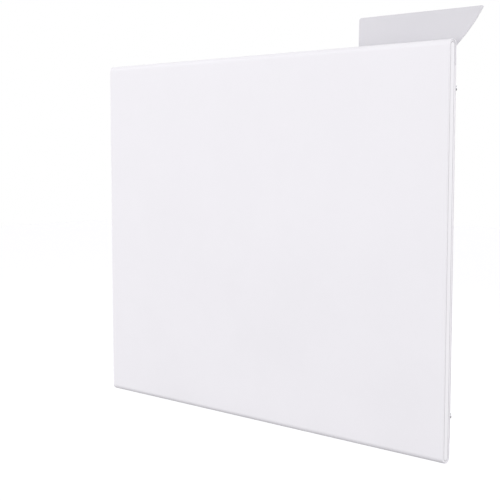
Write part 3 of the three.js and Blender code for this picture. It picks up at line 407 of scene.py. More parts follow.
def metal(name, colour, roughness, stretch):
    material, tree, shader = newMaterial(name)
    place = tree.nodes.new("ShaderNodeTexCoord").outputs["Object"]
    mapping = tree.nodes.new("ShaderNodeMapping")
    mapping.inputs["Scale"].default_value = stretch
    tree.links.new(place, mapping.inputs["Vector"])
    lines = noiseNode(tree, mapping.outputs["Vector"], *metalLook["streaks"])
    texture = placeGroup(tree, surfaceGrain, Scale=metalLook["grain"], Unevenness=metalLook["unevenness"])
    streaky = rangeNode(tree, lines, *metalLook["streakRange"])
    base = mixColour(tree, streaky, scaledColour(colour, metalLook["shadeShare"]), colour)
    worn = placeGroup(tree, edgeWear, Amount=metalLook["wear"])
    rubbed = scaledColour(colour, metalLook["rubbedShare"])
    base = mixColour(tree, worn.outputs["Mask"], base, rubbed)
    tree.links.new(base, shader.inputs["Base Color"])
    rough = rangeNode(tree, lines, *metalLook["roughRange"], roughness - metalLook["smoother"],
                      roughness + metalLook["rougher"])
    tree.links.new(rough, shader.inputs["Roughness"])
    shader.inputs["Metallic"].default_value = 1.0
    height = mathNode(tree, "ADD", lines, texture.outputs["Height"])
    addBump(tree, shader, height, metalLook["depth"])
    return material


glowLook = {"grain": 700.0, "unevenness": 0.3, "shadeShare": 0.85, "shine": 0.2, "roughness": (0.12, 0.22)}


def glowing(name, colour, strength, base):
    material, tree, shader = newMaterial(name)
    texture = placeGroup(tree, surfaceGrain, Scale=glowLook["grain"], Unevenness=glowLook["unevenness"])
    mask = texture.outputs["Mask"]
    lit = mixColour(tree, mask, scaledColour(colour, glowLook["shadeShare"]), colour)
    tree.links.new(lit, shader.inputs["Emission Color"])
    shader.inputs["Emission Strength"].default_value = strength
    shader.inputs["Base Color"].default_value = (*base, 1)
    shader.inputs["Specular IOR Level"].default_value = glowLook["shine"]
    rough = rangeNode(tree, mask, 0.0, 1.0, *glowLook["roughness"])
    tree.links.new(rough, shader.inputs["Roughness"])
    return material


finishLooks = {
    "whitePaint": (moulded, dict(
        colour=(0.865, 0.85, 0.885), roughness=0.36, grain=420.0, shade=0.975, depth=0.00003)),
    "whiteMoulding": (moulded, dict(
        colour=(0.895, 0.88, 0.91), roughness=0.46, grain=1500.0, shade=0.98, wear=0.3)),
    "fasciaMoulding": (moulded, dict(
        colour=(0.79, 0.785, 0.815), roughness=0.42, grain=1700.0, shade=0.96, depth=0.000015, wear=0.3)),
    "keyPlastic": (moulded, dict(
        colour=(0.86, 0.86, 0.89), roughness=0.34, grain=1800.0, shade=0.97, depth=0.00001,
        unevenness=0.2)),
    "ivoryPlastic": (moulded, dict(
        colour=(0.92, 0.885, 0.82), roughness=0.33, grain=1400.0, shade=0.96, depth=0.000012, wear=0.25)),
    # painted shade: the lid's white moulding made grey on its inner side, where it lies in shade
    "lidInner": (moulded, dict(
        colour=(0.66, 0.65, 0.68), roughness=0.38, grain=1500.0, shade=0.96, depth=0.000015)),
    # painted shade: grey for the sloping faces of the end caps' groove
    "grooveGrey": (moulded, dict(
        colour=(0.52, 0.51, 0.53), roughness=0.6, grain=1500.0, shade=0.9, wear=0.0, dust=0.0)),
    "darkPlastic": (moulded, dict(
        colour=(0.022, 0.022, 0.025), roughness=0.45, grain=1300.0, shade=0.8, wear=0.5,
        wearColour=(0.09, 0.09, 0.1))),
    "displayGlass": (moulded, dict(
        colour=(0.03, 0.026, 0.045), roughness=0.2, grain=300.0, shade=0.7, depth=0.000002,
        unevenness=0.2, wear=0.1, dust=0.03, shine=0.15)),
    "zincSteel": (metal, dict(
        colour=(0.52, 0.53, 0.55), roughness=0.38, stretch=(60.0, 60.0, 60.0))),
    "brightSteel": (metal, dict(
        colour=(0.78, 0.78, 0.80), roughness=0.24, stretch=(120.0, 120.0, 120.0))),
    "darkSteel": (metal, dict(
        colour=(0.07, 0.07, 0.075), roughness=0.4, stretch=(20.0, 700.0, 700.0))),
    "bareAluminium": (metal, dict(
        colour=(0.62, 0.63, 0.66), roughness=0.34, stretch=(4.0, 900.0, 900.0))),
    "ceramicGlaze": (moulded, dict(
        colour=(0.80, 0.75, 0.63), roughness=0.3, grain=500.0, shade=0.9, depth=0.00003,
        unevenness=0.5, wear=0.1)),
    "circuitBoard": (moulded, dict(
        colour=(0.016, 0.11, 0.045), roughness=0.4, grain=350.0, shade=0.6, depth=0.00003,
        unevenness=0.6, wear=0.3, wearColour=(0.3, 0.28, 0.1))),
    # dark ink of the printed marks, also used as painted shade for the rings round the button caps
    "inkDark": (moulded, dict(
        colour=(0.035, 0.035, 0.05), roughness=0.6, grain=2500.0, shade=0.7, depth=0.000004,
        unevenness=0.2, wear=0.0, dust=0.0)),
    "inkGrey": (moulded, dict(
        colour=(0.25, 0.25, 0.29), roughness=0.6, grain=2500.0, shade=0.8, depth=0.000004,
        unevenness=0.2, wear=0.0, dust=0.0)),
    "gapShade": (moulded, dict(
        colour=(0.03, 0.03, 0.035), roughness=0.7, grain=900.0, shade=0.7, wear=0.0, dust=0.0)),
    # painted shade: near black for the inner sides and slot walls that lie in the shade inside the heater
    "innerSteel": (moulded, dict(
        colour=(0.035, 0.035, 0.038), roughness=0.55, grain=500.0, shade=0.7, depth=0.00003,
        unevenness=0.5, dust=0.05, shine=0.2)),
    "litBlue": (glowing, dict(colour=(0.03, 0.025, 0.22), strength=0.5, base=(0.01, 0.01, 0.04))),
    # painted glow: for the rings of light laid on the fascia round the lit lamps
    "lampGlow": (glowing, dict(colour=(0.36, 0.34, 1.0), strength=0.7, base=(0.42, 0.42, 0.6))),
    "unlitBlue": (glowing, dict(colour=(0.02, 0.02, 0.05), strength=0.1, base=(0.05, 0.05, 0.07))),
    "backlight": (glowing, dict(colour=(0.11, 0.085, 0.33), strength=0.62, base=(0.02, 0.015, 0.05))),
    "litDigit": (glowing, dict(colour=(0.32, 0.28, 0.72), strength=0.85, base=(0.05, 0.04, 0.12))),
}
finishes = {name: make(name, **look) for name, (make, look) in finishLooks.items()}
slotFinish = {
    "white_steel": "whitePaint", "white_plastic": "whiteMoulding", "fascia_plastic": "fasciaMoulding",
    "key_plastic": "keyPlastic", "ivory_plastic": "ivoryPlastic", "dark_plastic": "darkPlastic",
    "display_window": "displayGlass", "blue_lens": "litBlue", "zinc_steel": "zincSteel",
    "bare_aluminium": "bareAluminium", "ceramic": "ceramicGlaze", "circuit_board": "circuitBoard",
}
ownFinish = {  # seen only through the grilles, or deep in the hinge; the heat shield and baffle are painted near black as the shade inside
    "heat_shield": "innerSteel", "control_baffle": "innerSteel", "lid_hinge_rod": "darkSteel"}
slotOf = {entry["node"]: entry["material_slot"] for entry in frame["record"]["subparts"]}
for nodeName, nodeObject in nodes.items():
    nodeObject.data.materials.clear()
    nodeObject.data.materials.append(finishes[ownFinish.get(nodeName, slotFinish[slotOf[nodeName]])])
print("finishes ready:", len(finishes))


# front panel: one folded sheet, rolled half round along the top and bottom

panel = {"sheet": 0.001, "return": 0.025, "rollSegments": 18, "edge": 0.00018, "edgeAngle": 50,
         "painted": 0.0025}  # how far in from its ends the inner side is white


def makePanel():
    low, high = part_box("front_panel")
    returnFrom = high.z - panel["return"]
    paintedFrom = high.x - panel["painted"]
    piece = newBox("front_panel_sheet", low, high)
    startEdit(piece)
    cutAcross(Vector((0, 0, 1)), returnFrom)

    def isOpen(face):  # both ends, and the back between the two returns
        backOpen = facing(face, y=1) and abs(middleOf(face).z) < returnFrom
        return facing(face, x=1) or facing(face, x=-1) or backOpen

    choose(piece, "FACE", isOpen)
    bpy.ops.mesh.delete(type="FACE")
    choose(piece, "EDGE", lambda edge: runsAlongX(edge) and same(abs(middleOf(edge).z), high.z))
    rolled((high.y - low.y) / 2, panel["rollSegments"])
    cutAcross(Vector((1, 0, 0)), paintedFrom)
    endEdit()
    # painted shade: the inner side of the sheet is near black, as the shade inside, except near its ends
    covered(piece, finishes["whitePaint"], finishes["innerSteel"])
    applied(piece, "SOLIDIFY", thickness=panel["sheet"], offset=-1, use_even_offset=True,
            material_offset=1)
    for face in piece.data.polygons:
        if abs(face.center.x) > paintedFrom:
            face.material_index = 0
    softened(piece, panel["edge"], 2, panel["edgeAngle"])
    smoothed(piece)
    return fitted(piece, "front_panel", "white_steel", finishes["whitePaint"], finishes["innerSteel"])


makePanel()
print("front panel ready")


# housings, grilles, lid and other pieces that keep their own shape, with softened edges

softEdges = {  # node: (edge radius, segments)
    "side_housing_right": (0.0004, 2),
    "side_housing_left": (0.0004, 2),
    "rear_cover": (0.0002, 1),
    "outlet_grille": (0.0002, 1),
    "intake_grille": (0.0002, 1),
    "control_fascia": (0.0002, 2),
    "control_lid": (0.00015, 2),
    "switch_body": (0.0003, 2),
    "switch_rocker": (0.0003, 2),
    "display_glass": (0.00025, 2),
    "cable_gland": (0.0004, 2),
    "wall_bracket": (0.0003, 2),
}
# some edges of these are shorter than the radius
shortEdged = ["side_housing_right", "side_housing_left", "control_lid"]
gaps = {  # where the dark faces of narrow gaps lie
    "knuckle": 0.0017,  # reach round the hinge's axis
    "knuckleBack": 0.1,  # how far back a dark face of the knuckle may look
    "trough": (0.0026, 0.0031, 0.0012),  # half its width, its depth and rise against the axis
    "grooveDepth": (0.0020, 0.0036),  # behind the front of the switch
    "grooveReach": 0.006,
    "slot": (0.0045, 0.0014, 0.0026, 0.0060),  # reach in X and Y, drop, height
    "slotWall": 0.5,  # a face of a grille that looks outwards less than this is painted dark as shade
    "lidInner": 0.3,  # a face of the lid that looks at the fascia more than this is its inner side, painted grey as shade
}
lidShade = {"from": 0.0001, "to": 0.0181, "colour": (0.40, 0.39, 0.42)}  # above the hinge's axis
hingeLow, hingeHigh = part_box("lid_hinge_rod")
hingeAxis = (hingeLow + hingeHigh) / 2


def darkerTowards(name, low, high, colour):  # a finish painted darker down towards a height, as shade
    tree = finishes[name].node_tree
    socket = tree.nodes["Principled BSDF"].inputs["Base Color"]
    before = socket.links[0].from_socket
    parts = tree.nodes.new("ShaderNodeSeparateXYZ")
    tree.links.new(tree.nodes.new("ShaderNodeTexCoord").outputs["Object"], parts.inputs[0])
    unshaded = rangeNode(tree, parts.outputs["Z"], low, high)
    tree.links.new(mixColour(tree, unshaded, colour, before), socket)


def inKnuckle(face):  # front half of the barrel round the hinge rod
    middle = Vector(face.center)
    near = math.hypot(middle.y - hingeAxis.y, middle.z - hingeAxis.z) < gaps["knuckle"]
    return near and face.normal.y < gaps["knuckleBack"]


def inTrough(face):  # walls and floor of the hinge trough
    half, depth, rise = gaps["trough"]
    middle = Vector(face.center)
    return (abs(middle.y - hingeAxis.y) < half and -depth < middle.z - hingeAxis.z < rise
            and middle.x > hingeLow.x - half)


def inPocketGroove(face):  # narrow groove behind the switch
    low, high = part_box("switch_body")
    near, far = gaps["grooveDepth"]
    reach = gaps["grooveReach"]
    middle = Vector(face.center)
    return (high.x - far < middle.x < high.x - near and high.y < middle.y < high.y + reach
            and low.z - 2 * reach < middle.z < high.z + 2 * reach)


def inEdgeSlot(face):  # slot in the front edge of the end wall
    low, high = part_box("side_housing_right")
    reachX, reachY, drop, height = gaps["slot"]
    middle = Vector(face.center)
    return (middle.x > high.x - reachX and middle.y < low.y + reachY
            and high.z - drop - height < middle.z < high.z - drop
            and not facing(face, y=1) and not facing(face, y=-1))


def facesFascia(face):  # inner side of the lid, painted grey as shade
    low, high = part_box("control_fascia")
    towards = (low + high) / 2 - Vector(face.center)
    return not inKnuckle(face) and face.normal.dot(towards) > gaps["lidInner"] * abs(towards.y)


def inSlots(face):  # walls of the slots and the inner side of a sloping grille
    outward = Vector((0, 1, 1 if face.center.z > 0 else -1)).normalized()
    return face.normal.dot(outward) < gaps["slotWall"]


shadedFaces = {  # node: (test, finish) for each further finish on it, each of them painted shade
    "side_housing_right": [
        (inTrough, "gapShade"), (inPocketGroove, "gapShade"), (inEdgeSlot, "gapShade")],
    "control_lid": [(inKnuckle, "gapShade"), (facesFascia, "lidInner")],
    "rear_cover": [(lambda face: facing(face, y=-1), "innerSteel")],
    "outlet_grille": [(inSlots, "innerSteel")],
    "intake_grille": [(inSlots, "innerSteel")],
}


def finishSoft():
    for nodeName, (edgeRadius, segments) in softEdges.items():
        piece = dressed(nodeName)
        names = [slotFinish[slotOf[nodeName]]]
        for test, finish in shadedFaces.get(nodeName, []):
            if finish not in names:
                names.append(finish)
            for face in piece.data.polygons:
                if test(face):
                    face.material_index = names.index(finish)
        soften = softenedOutside if nodeName in shortEdged else softened
        soften(piece, edgeRadius, segments)
        smoothed(piece)
        fitted(piece, nodeName, slotOf[nodeName], *[finishes[name] for name in names])
        print("softened", nodeName, len(piece.data.polygons), "faces")


# painted shade: the lid's inner side darkens down towards the hinge
darkerTowards(
    "lidInner", hingeAxis.z + lidShade["from"], hingeAxis.z + lidShade["to"], lidShade["colour"])
finishSoft()


# end caps: a plate with half-round ends inside the rolled sheet

cap = {"clearance": 0.0003, "rollSegments": 18, "rim": 0.0012, "groove": 0.00026, "grooveDepth": 0.0005,
       "grooveSlant": (0.05, 0.99), "edge": 0.0001, "edgeAngle": 40}


def makeCap(node, side):
    low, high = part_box(node)
    wall = panel["sheet"] + cap["clearance"]
    plateRear = high.y - wall
    landZ = high.z + wall - panel["return"] - cap["clearance"]
    outerX = high.x if side > 0 else low.x
    piece = newBox(node + "_plate", low, (high.x, plateRear, high.z))
    startEdit(piece)
    choose(piece, "EDGE", runsAlongX)
    rolled((plateRear - low.y) / 2, cap["rollSegments"])
    choose(piece, "FACE", lambda face: facing(face, x=side))
    bpy.ops.mesh.inset(thickness=cap["rim"], depth=0)
    bpy.ops.mesh.inset(thickness=cap["groove"], depth=-cap["grooveDepth"])
    bpy.ops.mesh.inset(thickness=cap["groove"], depth=cap["grooveDepth"])
    cutAcross(Vector((0, 0, 1)), landZ)
    choose(piece, "FACE", lambda face: facing(face, y=1) and abs(middleOf(face).z) < landZ / 2
           and middleOf(face).y > plateRear - shaping["level"])
    bpy.ops.mesh.extrude_region_move(TRANSFORM_OT_translate={"value": (0, wall, 0)})
    endEdit()
    least, most = cap["grooveSlant"]
    # painted shade: the sloping faces of the groove get the grey finish
    for face in piece.data.polygons:
        inGroove = abs(face.center.x - outerX) < cap["grooveDepth"]
        if inGroove and least < abs(face.normal.x) < most:
            face.material_index = 1
    softened(piece, cap["edge"], 2, cap["edgeAngle"])
    smoothed(piece)
    return fitted(piece, node, "white_plastic", finishes["whiteMoulding"], finishes["grooveGrey"])


makeCap("end_cap_right", 1)
makeCap("end_cap_left", -1)
print("end caps ready")


# flat printed marks, lit segments, and painted glow and shade rings

flats = {"cornerShare": 0.25, "cornerSteps": 3, "ringSides": 44, "discSides": 24,
         "gap": 0.00002}  # between two bars of one mark


def flatRing(radii, x, y, z, gap=None, sides=flats["ringSides"]):  # gap: (from, to) in degrees, left open
    outer, inner = radii
    bpy.ops.mesh.primitive_circle_add(
        vertices=sides, radius=outer, fill_type="NOTHING", location=(x, y, z))
    piece = added("ring")
    startEdit(piece)
    bpy.ops.mesh.select_all(action="SELECT")
    bpy.ops.mesh.extrude_edges_move(TRANSFORM_OT_translate={"value": (0, 0, 0)})
    bpy.ops.transform.resize(value=(inner / outer, inner / outer, 1), center_override=(x, y, z))
    if gap:
        def inGap(face):
            place = middleOf(face)
            angle = math.degrees(math.atan2(place.y - y, place.x - x)) % 360
            return gap[0] <= angle <= gap[1]
        choose(piece, "FACE", inGap)
        bpy.ops.mesh.delete(type="FACE")
    endEdit()
    return piece


def flatBar(length, width, x, y, z, turn=0.0, cornerShare=flats["cornerShare"], steps=flats["cornerSteps"]):
    bpy.ops.mesh.primitive_plane_add(size=1, location=(x, y, z), rotation=(0, 0, math.radians(turn)))
    bpy.context.active_object.scale = (length, width, 1)
    piece = added("bar")
    startEdit(piece)
    bpy.ops.mesh.select_all(action="SELECT")
    bpy.ops.mesh.bevel(offset=width * cornerShare, segments=steps, affect="VERTICES")
    endEdit()
    return piece


def flatPair(length, width, x, y, z, asideX, asideY, turn=0.0):  # like bars on both sides of a middle
    return [flatBar(length, width, x + sign * asideX, y + sign * asideY, z, turn) for sign in (-1, 1)]


def flatBow(length, height, waist, x, y, z):  # two wedges that meet at a narrow waist
    bpy.ops.mesh.primitive_plane_add(size=1, location=(x, y, z))
    bpy.context.active_object.scale = (length, height, 1)
    piece = added("bow")
    startEdit(piece)
    bpy.ops.mesh.select_all(action="SELECT")
    bpy.ops.mesh.bisect(plane_co=(x, y, z), plane_no=(1, 0, 0))
    choose(piece, "VERT", lambda vert: abs(vert.co.x - x) < length / 4)
    bpy.ops.transform.resize(value=(1, waist / height, 1), center_override=(x, y, z))
    endEdit()
    return piece


def flatSpokes(near, far, width, x, y, z):  # four short bars round a middle
    length, middle = far - near, (far + near) / 2
    return [flatBar(length, width, x + middle * math.cos(turn), y + middle * math.sin(turn), z,
                    math.degrees(turn)) for turn in (0, math.pi / 2, math.pi, math.pi * 1.5)]


def flatHands(long, short, width, rise, x, y, z):  # two clock hands that meet in a corner
    aside = (width + short) / 2 + flats["gap"]
    return [flatBar(long, width, x, y + rise, z, 90),
            flatBar(short, width, x + aside, y + rise - (long - width) / 2, z)]


def flatDisc(radius, x, y, z, sides=flats["discSides"], turn=0.0):
    bpy.ops.mesh.primitive_circle_add(
        vertices=sides, radius=radius, fill_type="NGON", location=(x, y, z),
        rotation=(0, 0, math.radians(turn)))
    return added("disc")


def thinLayer(name, shapes, thickness, node, material):  # one thin raised layer on a node's body, used for prints, lit parts, painted glow and painted shade
    selectOnly(shapes[0])
    for shape in shapes:
        shape.select_set(True)
    if len(shapes) > 1:
        bpy.ops.object.join()
    piece = bpy.context.active_object
    piece.name = name
    piece.data.name = name
    startEdit(piece)
    choose(piece, "FACE", lambda face: face.normal.z < 0)
    bpy.ops.mesh.flip_normals()
    endEdit()
    applied(piece, "SOLIDIFY", thickness=thickness, offset=1)
    piece.data.materials.clear()
    piece.data.materials.append(material)
    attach(piece, bodyOf[node])
    return piece


# buttons: one cap with flange and stem, copied to the six places

key = {"sides": 64, "flange": 0.0006, "flangeThick": 0.001, "stem": 0.0025, "stemLength": 0.0039,
       "edge": 0.00022, "edgeAngle": 60, "shadeAngle": 40, "rim": 0.0009, "dish": 0.0001,
       "dishSlope": 0.0004, "ink": 0.00005, "ring": (0.00563, 0.00523), "shadeRingThickness": 0.000025}
keyMarks = {  # a ring has an outer and an inner radius, a bar a length and a width
    "powerRing": (0.0034, 0.00255), "powerDot": 0.0008,
    "minusBar": (0.0068, 0.0009),
    "plusBar": (0.0064, 0.0011),
    "pauseBar": (0.0058, 0.0015), "pauseAside": 0.0019,
    "modeBow": (0.0055, 0.0043, 0.0011),  # length, height, waist
    "timerRing": (0.0034, 0.0024), "timerGap": (100, 150),
    "timerHands": (0.0021, 0.00098, 0.0007, 0.0006),  # long, short, width, rise
}
keyNodes = ["button_power", "button_minus", "button_plus", "button_pause", "button_mode", "button_timer"]


def topMiddle(node):
    low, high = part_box(node)
    return (low.x + high.x) / 2, (low.y + high.y) / 2, high.z


def makeKeyMaster():
    low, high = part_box("button_power")
    capRadius = (high.x - low.x) / 2 - key["flange"]
    flangeRadius = capRadius + key["flange"]
    bottom = low.z + key["stemLength"] + key["flangeThick"]
    piece = newCylinder("key_master", capRadius, bottom, high.z, key["sides"])
    startEdit(piece)

    def step(scale, depth):  # widens or narrows the bottom face, then draws it down
        level = min(v.co.z for v in bmesh.from_edit_mesh(piece.data).verts)
        choose(piece, "FACE", lambda face: facing(face, z=-1) and same(middleOf(face).z, level))
        bpy.ops.mesh.extrude_region_move(TRANSFORM_OT_translate={"value": (0, 0, 0)})
        bpy.ops.transform.resize(value=(scale, scale, 1), center_override=(0, 0, level))
        bpy.ops.mesh.extrude_region_move(TRANSFORM_OT_translate={"value": (0, 0, -depth)})

    step(flangeRadius / capRadius, key["flangeThick"])
    step(key["stem"] / flangeRadius, key["stemLength"])
    choose(piece, "FACE", lambda face: facing(face, z=1) and same(middleOf(face).z, high.z))
    bpy.ops.mesh.inset(thickness=key["rim"], depth=0)
    bpy.ops.mesh.inset(thickness=key["dishSlope"], depth=-key["dish"])
    endEdit()
    softened(piece, key["edge"], 3, key["edgeAngle"])
    return smoothed(piece, key["shadeAngle"])


def plusMark(x, y, z):
    length, width = keyMarks["plusBar"]
    arm = (length - width) / 2 - flats["gap"]
    return [flatBar(length, width, x, y, z), *flatPair(arm, width, x, y, z, 0, (length - arm) / 2, 90)]


def keyMark(node, x, y, z):
    if node == "button_power":
        return [flatRing(keyMarks["powerRing"], x, y, z), flatDisc(keyMarks["powerDot"], x, y, z)]
    if node == "button_minus":
        return [flatBar(*keyMarks["minusBar"], x, y, z)]
    if node == "button_plus":
        return plusMark(x, y, z)
    if node == "button_pause":
        return flatPair(*keyMarks["pauseBar"], x, y, z, keyMarks["pauseAside"], 0, 90)
    if node == "button_mode":
        return [flatBow(*keyMarks["modeBow"], x, y, z)]
    return [flatRing(keyMarks["timerRing"], x, y, z, keyMarks["timerGap"]),
            *flatHands(*keyMarks["timerHands"], x, y, z)]


def makeKeys():
    master = makeKeyMaster()
    for node in keyNodes:
        x, y, top = topMiddle(node)
        piece = copied(master, node + "_cap", Matrix.Translation((x, y, 0)))
        fitted(piece, node, "key_plastic", finishes["keyPlastic"])
        thinLayer(node + "_mark", keyMark(node, x, y, top - key["dish"]), key["ink"], node,
                finishes["inkDark"])
        # painted shade: a dark ring laid round each cap's edge stands in for the shade of the gap round the
        # button
        ring = flatRing(key["ring"], x, y, top, None, key["sides"])
        thinLayer(node + "_ring", [ring], key["shadeRingThickness"], node, finishes["inkDark"])
    bpy.data.objects.remove(master)


makeKeys()
print("buttons ready")


# display: backlit window with two digits, and the lamps with their marks and painted glow rings

display = {"border": 0.0016, "cornerShare": 0.05, "digitHeight": 0.0104, "digitWidth": 0.0052,
           "stroke": 0.0013, "tipShare": 0.49, "segmentGap": 0.00012, "spacing": 0.0084, "ink": 0.00003}
segmentsOf = {"2": "abged", "1": "bc"}


def digitFlats(symbol, x, y, z):
    high, wide, stroke = display["digitHeight"], display["digitWidth"], display["stroke"]
    places = {  # middle of a segment, and its turn
        "a": (x, y + high / 2, 0), "g": (x, y, 0), "d": (x, y - high / 2, 0),
        "b": (x + wide / 2, y + high / 4, 90), "c": (x + wide / 2, y - high / 4, 90),
        "e": (x - wide / 2, y - high / 4, 90),
    }
    shapes = []
    for letter in segmentsOf[symbol]:
        px, py, turn = places[letter]
        length = (wide if turn == 0 else high / 2) - display["segmentGap"]
        shapes.append(flatBar(length, stroke, px, py, z, turn, display["tipShare"], 1))
    return shapes


def makeDisplay():
    low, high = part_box("display_glass")
    x, y, top = topMiddle("display_glass")
    wide = high.x - low.x - 2 * display["border"]
    deep = high.y - low.y - 2 * display["border"]
    back = flatBar(wide, deep, x, y, top, 0, display["cornerShare"])
    thinLayer("display_backlight", [back], display["ink"], "display_glass",
            finishes["backlight"])
    shapes = digitFlats("2", x - display["spacing"] / 2, y, top + display["ink"])
    shapes += digitFlats("1", x + display["spacing"] / 2, y, top + display["ink"])
    thinLayer("display_digits", shapes, display["ink"], "display_glass",
            finishes["litDigit"])


lampShape = {"sides": 28, "rimShare": 0.3, "crownShare": 0.35, "dome": 0.0002, "shoulderShare": 0.3,
             "shadeAngle": 50, "markAway": 0.0045, "halo": (0.0018, 0.0013), "unlit": "lamp_5"}
lampMarks = {  # a ring has an outer and an inner radius, a bar a length and a width
    "frameBar": (0.0034, 0.0005), "frameAside": 0.0014,
    "sunDot": 0.0011, "rayEnd": 0.0019, "rayWidth": 0.0004,
    "postBar": (0.0030, 0.0008), "postLeft": 0.0013, "postRight": 0.0011, "footBar": (0.00118, 0.0006),
    "targetDot": 0.0012, "targetRing": (0.0019, 0.0016),
    "turnRing": (0.0018, 0.0011), "turnGap": (300, 359),
    "arrow": 0.0008, "arrowPlace": (0.00145, -0.00047), "arrowTurn": 180,
    "clockRing": (0.0018, 0.0013), "clockHands": (0.0012, 0.00068, 0.0004, 0.0004),
}


def makeLampMaster():
    low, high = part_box("lamp_1")
    radius = (high.x - low.x) / 2
    middleRadius = radius * (1 - lampShape["rimShare"])
    innerRadius = middleRadius - radius * lampShape["crownShare"]
    piece = newCylinder("lamp_master", radius, low.z, high.z, lampShape["sides"])
    startEdit(piece)
    choose(piece, "FACE", lambda face: facing(face, z=1))
    bpy.ops.mesh.inset(thickness=radius * lampShape["rimShare"], depth=0)
    bpy.ops.mesh.inset(thickness=radius * lampShape["crownShare"], depth=0)

    def lower(beyond, depth):  # draws down what is still level and lies beyond this radius
        choose(piece, "VERT", lambda vert: same(vert.co.z, high.z) and vert.co.xy.length > beyond)
        bpy.ops.transform.translate(value=(0, 0, -depth))

    lower((radius + middleRadius) / 2, lampShape["dome"])
    lower((middleRadius + innerRadius) / 2, lampShape["dome"] * lampShape["shoulderShare"])
    endEdit()
    return smoothed(piece, lampShape["shadeAngle"])


def frameMark(x, y, z):  # an open rectangle
    length, width = lampMarks["frameBar"]
    aside = lampMarks["frameAside"]
    upright = 2 * aside - width - 2 * flats["gap"]
    return [*flatPair(length, width, x, y, z, 0, aside),
            *flatPair(upright, width, x, y, z, (length - width) / 2, 0, 90)]


def sunMark(x, y, z):
    dot = lampMarks["sunDot"]
    rays = flatSpokes(dot + flats["gap"], lampMarks["rayEnd"], lampMarks["rayWidth"], x, y, z)
    return [flatDisc(dot, x, y, z), *rays]


def postMark(x, y, z):  # two posts, the right one with a foot
    length, width = lampMarks["postBar"]
    footLength, footWidth = lampMarks["footBar"]
    right = x + lampMarks["postRight"]
    footX = right + (width + footLength) / 2 + flats["gap"]
    return [flatBar(length, width, x - lampMarks["postLeft"], y, z, 90),
            flatBar(length, width, right, y, z, 90),
            flatBar(footLength, footWidth, footX, y - (length - footWidth) / 2, z)]


def targetMark(x, y, z):
    return [flatDisc(lampMarks["targetDot"], x, y, z), flatRing(lampMarks["targetRing"], x, y, z)]


def turnMark(x, y, z):  # an open ring that ends in an arrow
    aside, along = lampMarks["arrowPlace"]
    return [flatRing(lampMarks["turnRing"], x, y, z, lampMarks["turnGap"]),
            flatDisc(lampMarks["arrow"], x + aside, y + along, z, 3, lampMarks["arrowTurn"])]


def clockMark(x, y, z):
    return [flatRing(lampMarks["clockRing"], x, y, z), *flatHands(*lampMarks["clockHands"], x, y, z)]


markOf = {"lamp_1": frameMark, "lamp_2": sunMark, "lamp_3": postMark, "lamp_4": targetMark,
          "lamp_5": turnMark, "lamp_6": clockMark}


def makeLamps():
    master = makeLampMaster()
    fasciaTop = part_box("control_fascia")[1].z
    for node, makeMark in markOf.items():
        lit = node != lampShape["unlit"]
        x, y, top = topMiddle(node)
        piece = copied(master, node + "_lens", Matrix.Translation((x, y, 0)))
        fitted(piece, node, "blue_lens", finishes["litBlue" if lit else "unlitBlue"])
        thinLayer(node + "_mark", makeMark(x, y + lampShape["markAway"], fasciaTop), key["ink"], node,
                finishes["inkGrey" if lit else "inkDark"])
        if lit:
            # painted glow: a glowing ring laid on the fascia round each lit lamp
            halo = flatRing(lampShape["halo"], x, y, fasciaTop)
            thinLayer(node + "_halo", [halo], key["ink"], node, finishes["lampGlow"])
    bpy.data.objects.remove(master)


makeDisplay()
makeLamps()
print("display and lamps ready")


# marks of the rocker's two ends, laid on its sloping faces

rocker = {"markAway": 0.0077, "ring": (0.0025, 0.0018), "bar": (0.0048, 0.0009), "ink": 0.00006,
          "endFrom": 0.006, "valleyWithin": 0.002}  # heights from the rocker's middle


def makeRockerMarks():
    low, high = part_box("switch_rocker")
    middle = (low + high) / 2
    corners = [v.co.copy() for v in nodes["switch_rocker"].data.vertices]

    def foremost(test):  # the corner that stands out most among those that pass the test
        return max((c for c in corners if test(c.z - middle.z)), key=lambda c: c.x)

    valley = foremost(lambda height: abs(height) < rocker["valleyWithin"])
    for sign, name in ((1, "off"), (-1, "on")):
        tip = foremost(lambda height: height * sign > rocker["endFrom"])
        along = Vector((tip.x - valley.x, 0, tip.z - valley.z)).normalized()
        looking = Vector((0, 1, 0)).cross(along)
        if looking.x < 0:
            looking = -looking
        up = along * sign
        turn = Matrix((up.cross(looking), up, looking)).transposed().to_4x4()
        turn.translation = Vector((valley.x, middle.y, valley.z)) + along * rocker["markAway"]
        if sign > 0:
            shapes = [flatRing(rocker["ring"], 0, 0, 0)]
        else:
            shapes = [flatBar(*rocker["bar"], 0, 0, 0, 90)]
        piece = thinLayer("rocker_mark_" + name, shapes, rocker["ink"], "switch_rocker",
                        finishes["inkDark"])
        piece.data.transform(turn)


makeRockerMarks()
print("rocker marks ready")


# screws: one pan head with a cross recess, copied to the ten places

screwShape = {"sides": 36, "headRadius": 0.0026, "headHeight": 0.0016, "headRound": 0.0009,
              "roundSegments": 5, "shankRadius": 0.0015, "recessLength": 0.0030, "recessWidth": 0.0007,
              "recessDepth": 0.0010, "overrun": 0.003, "shadeAngle": 40}
screwLengths = {"rear": 0.008, "side": 0.0045}


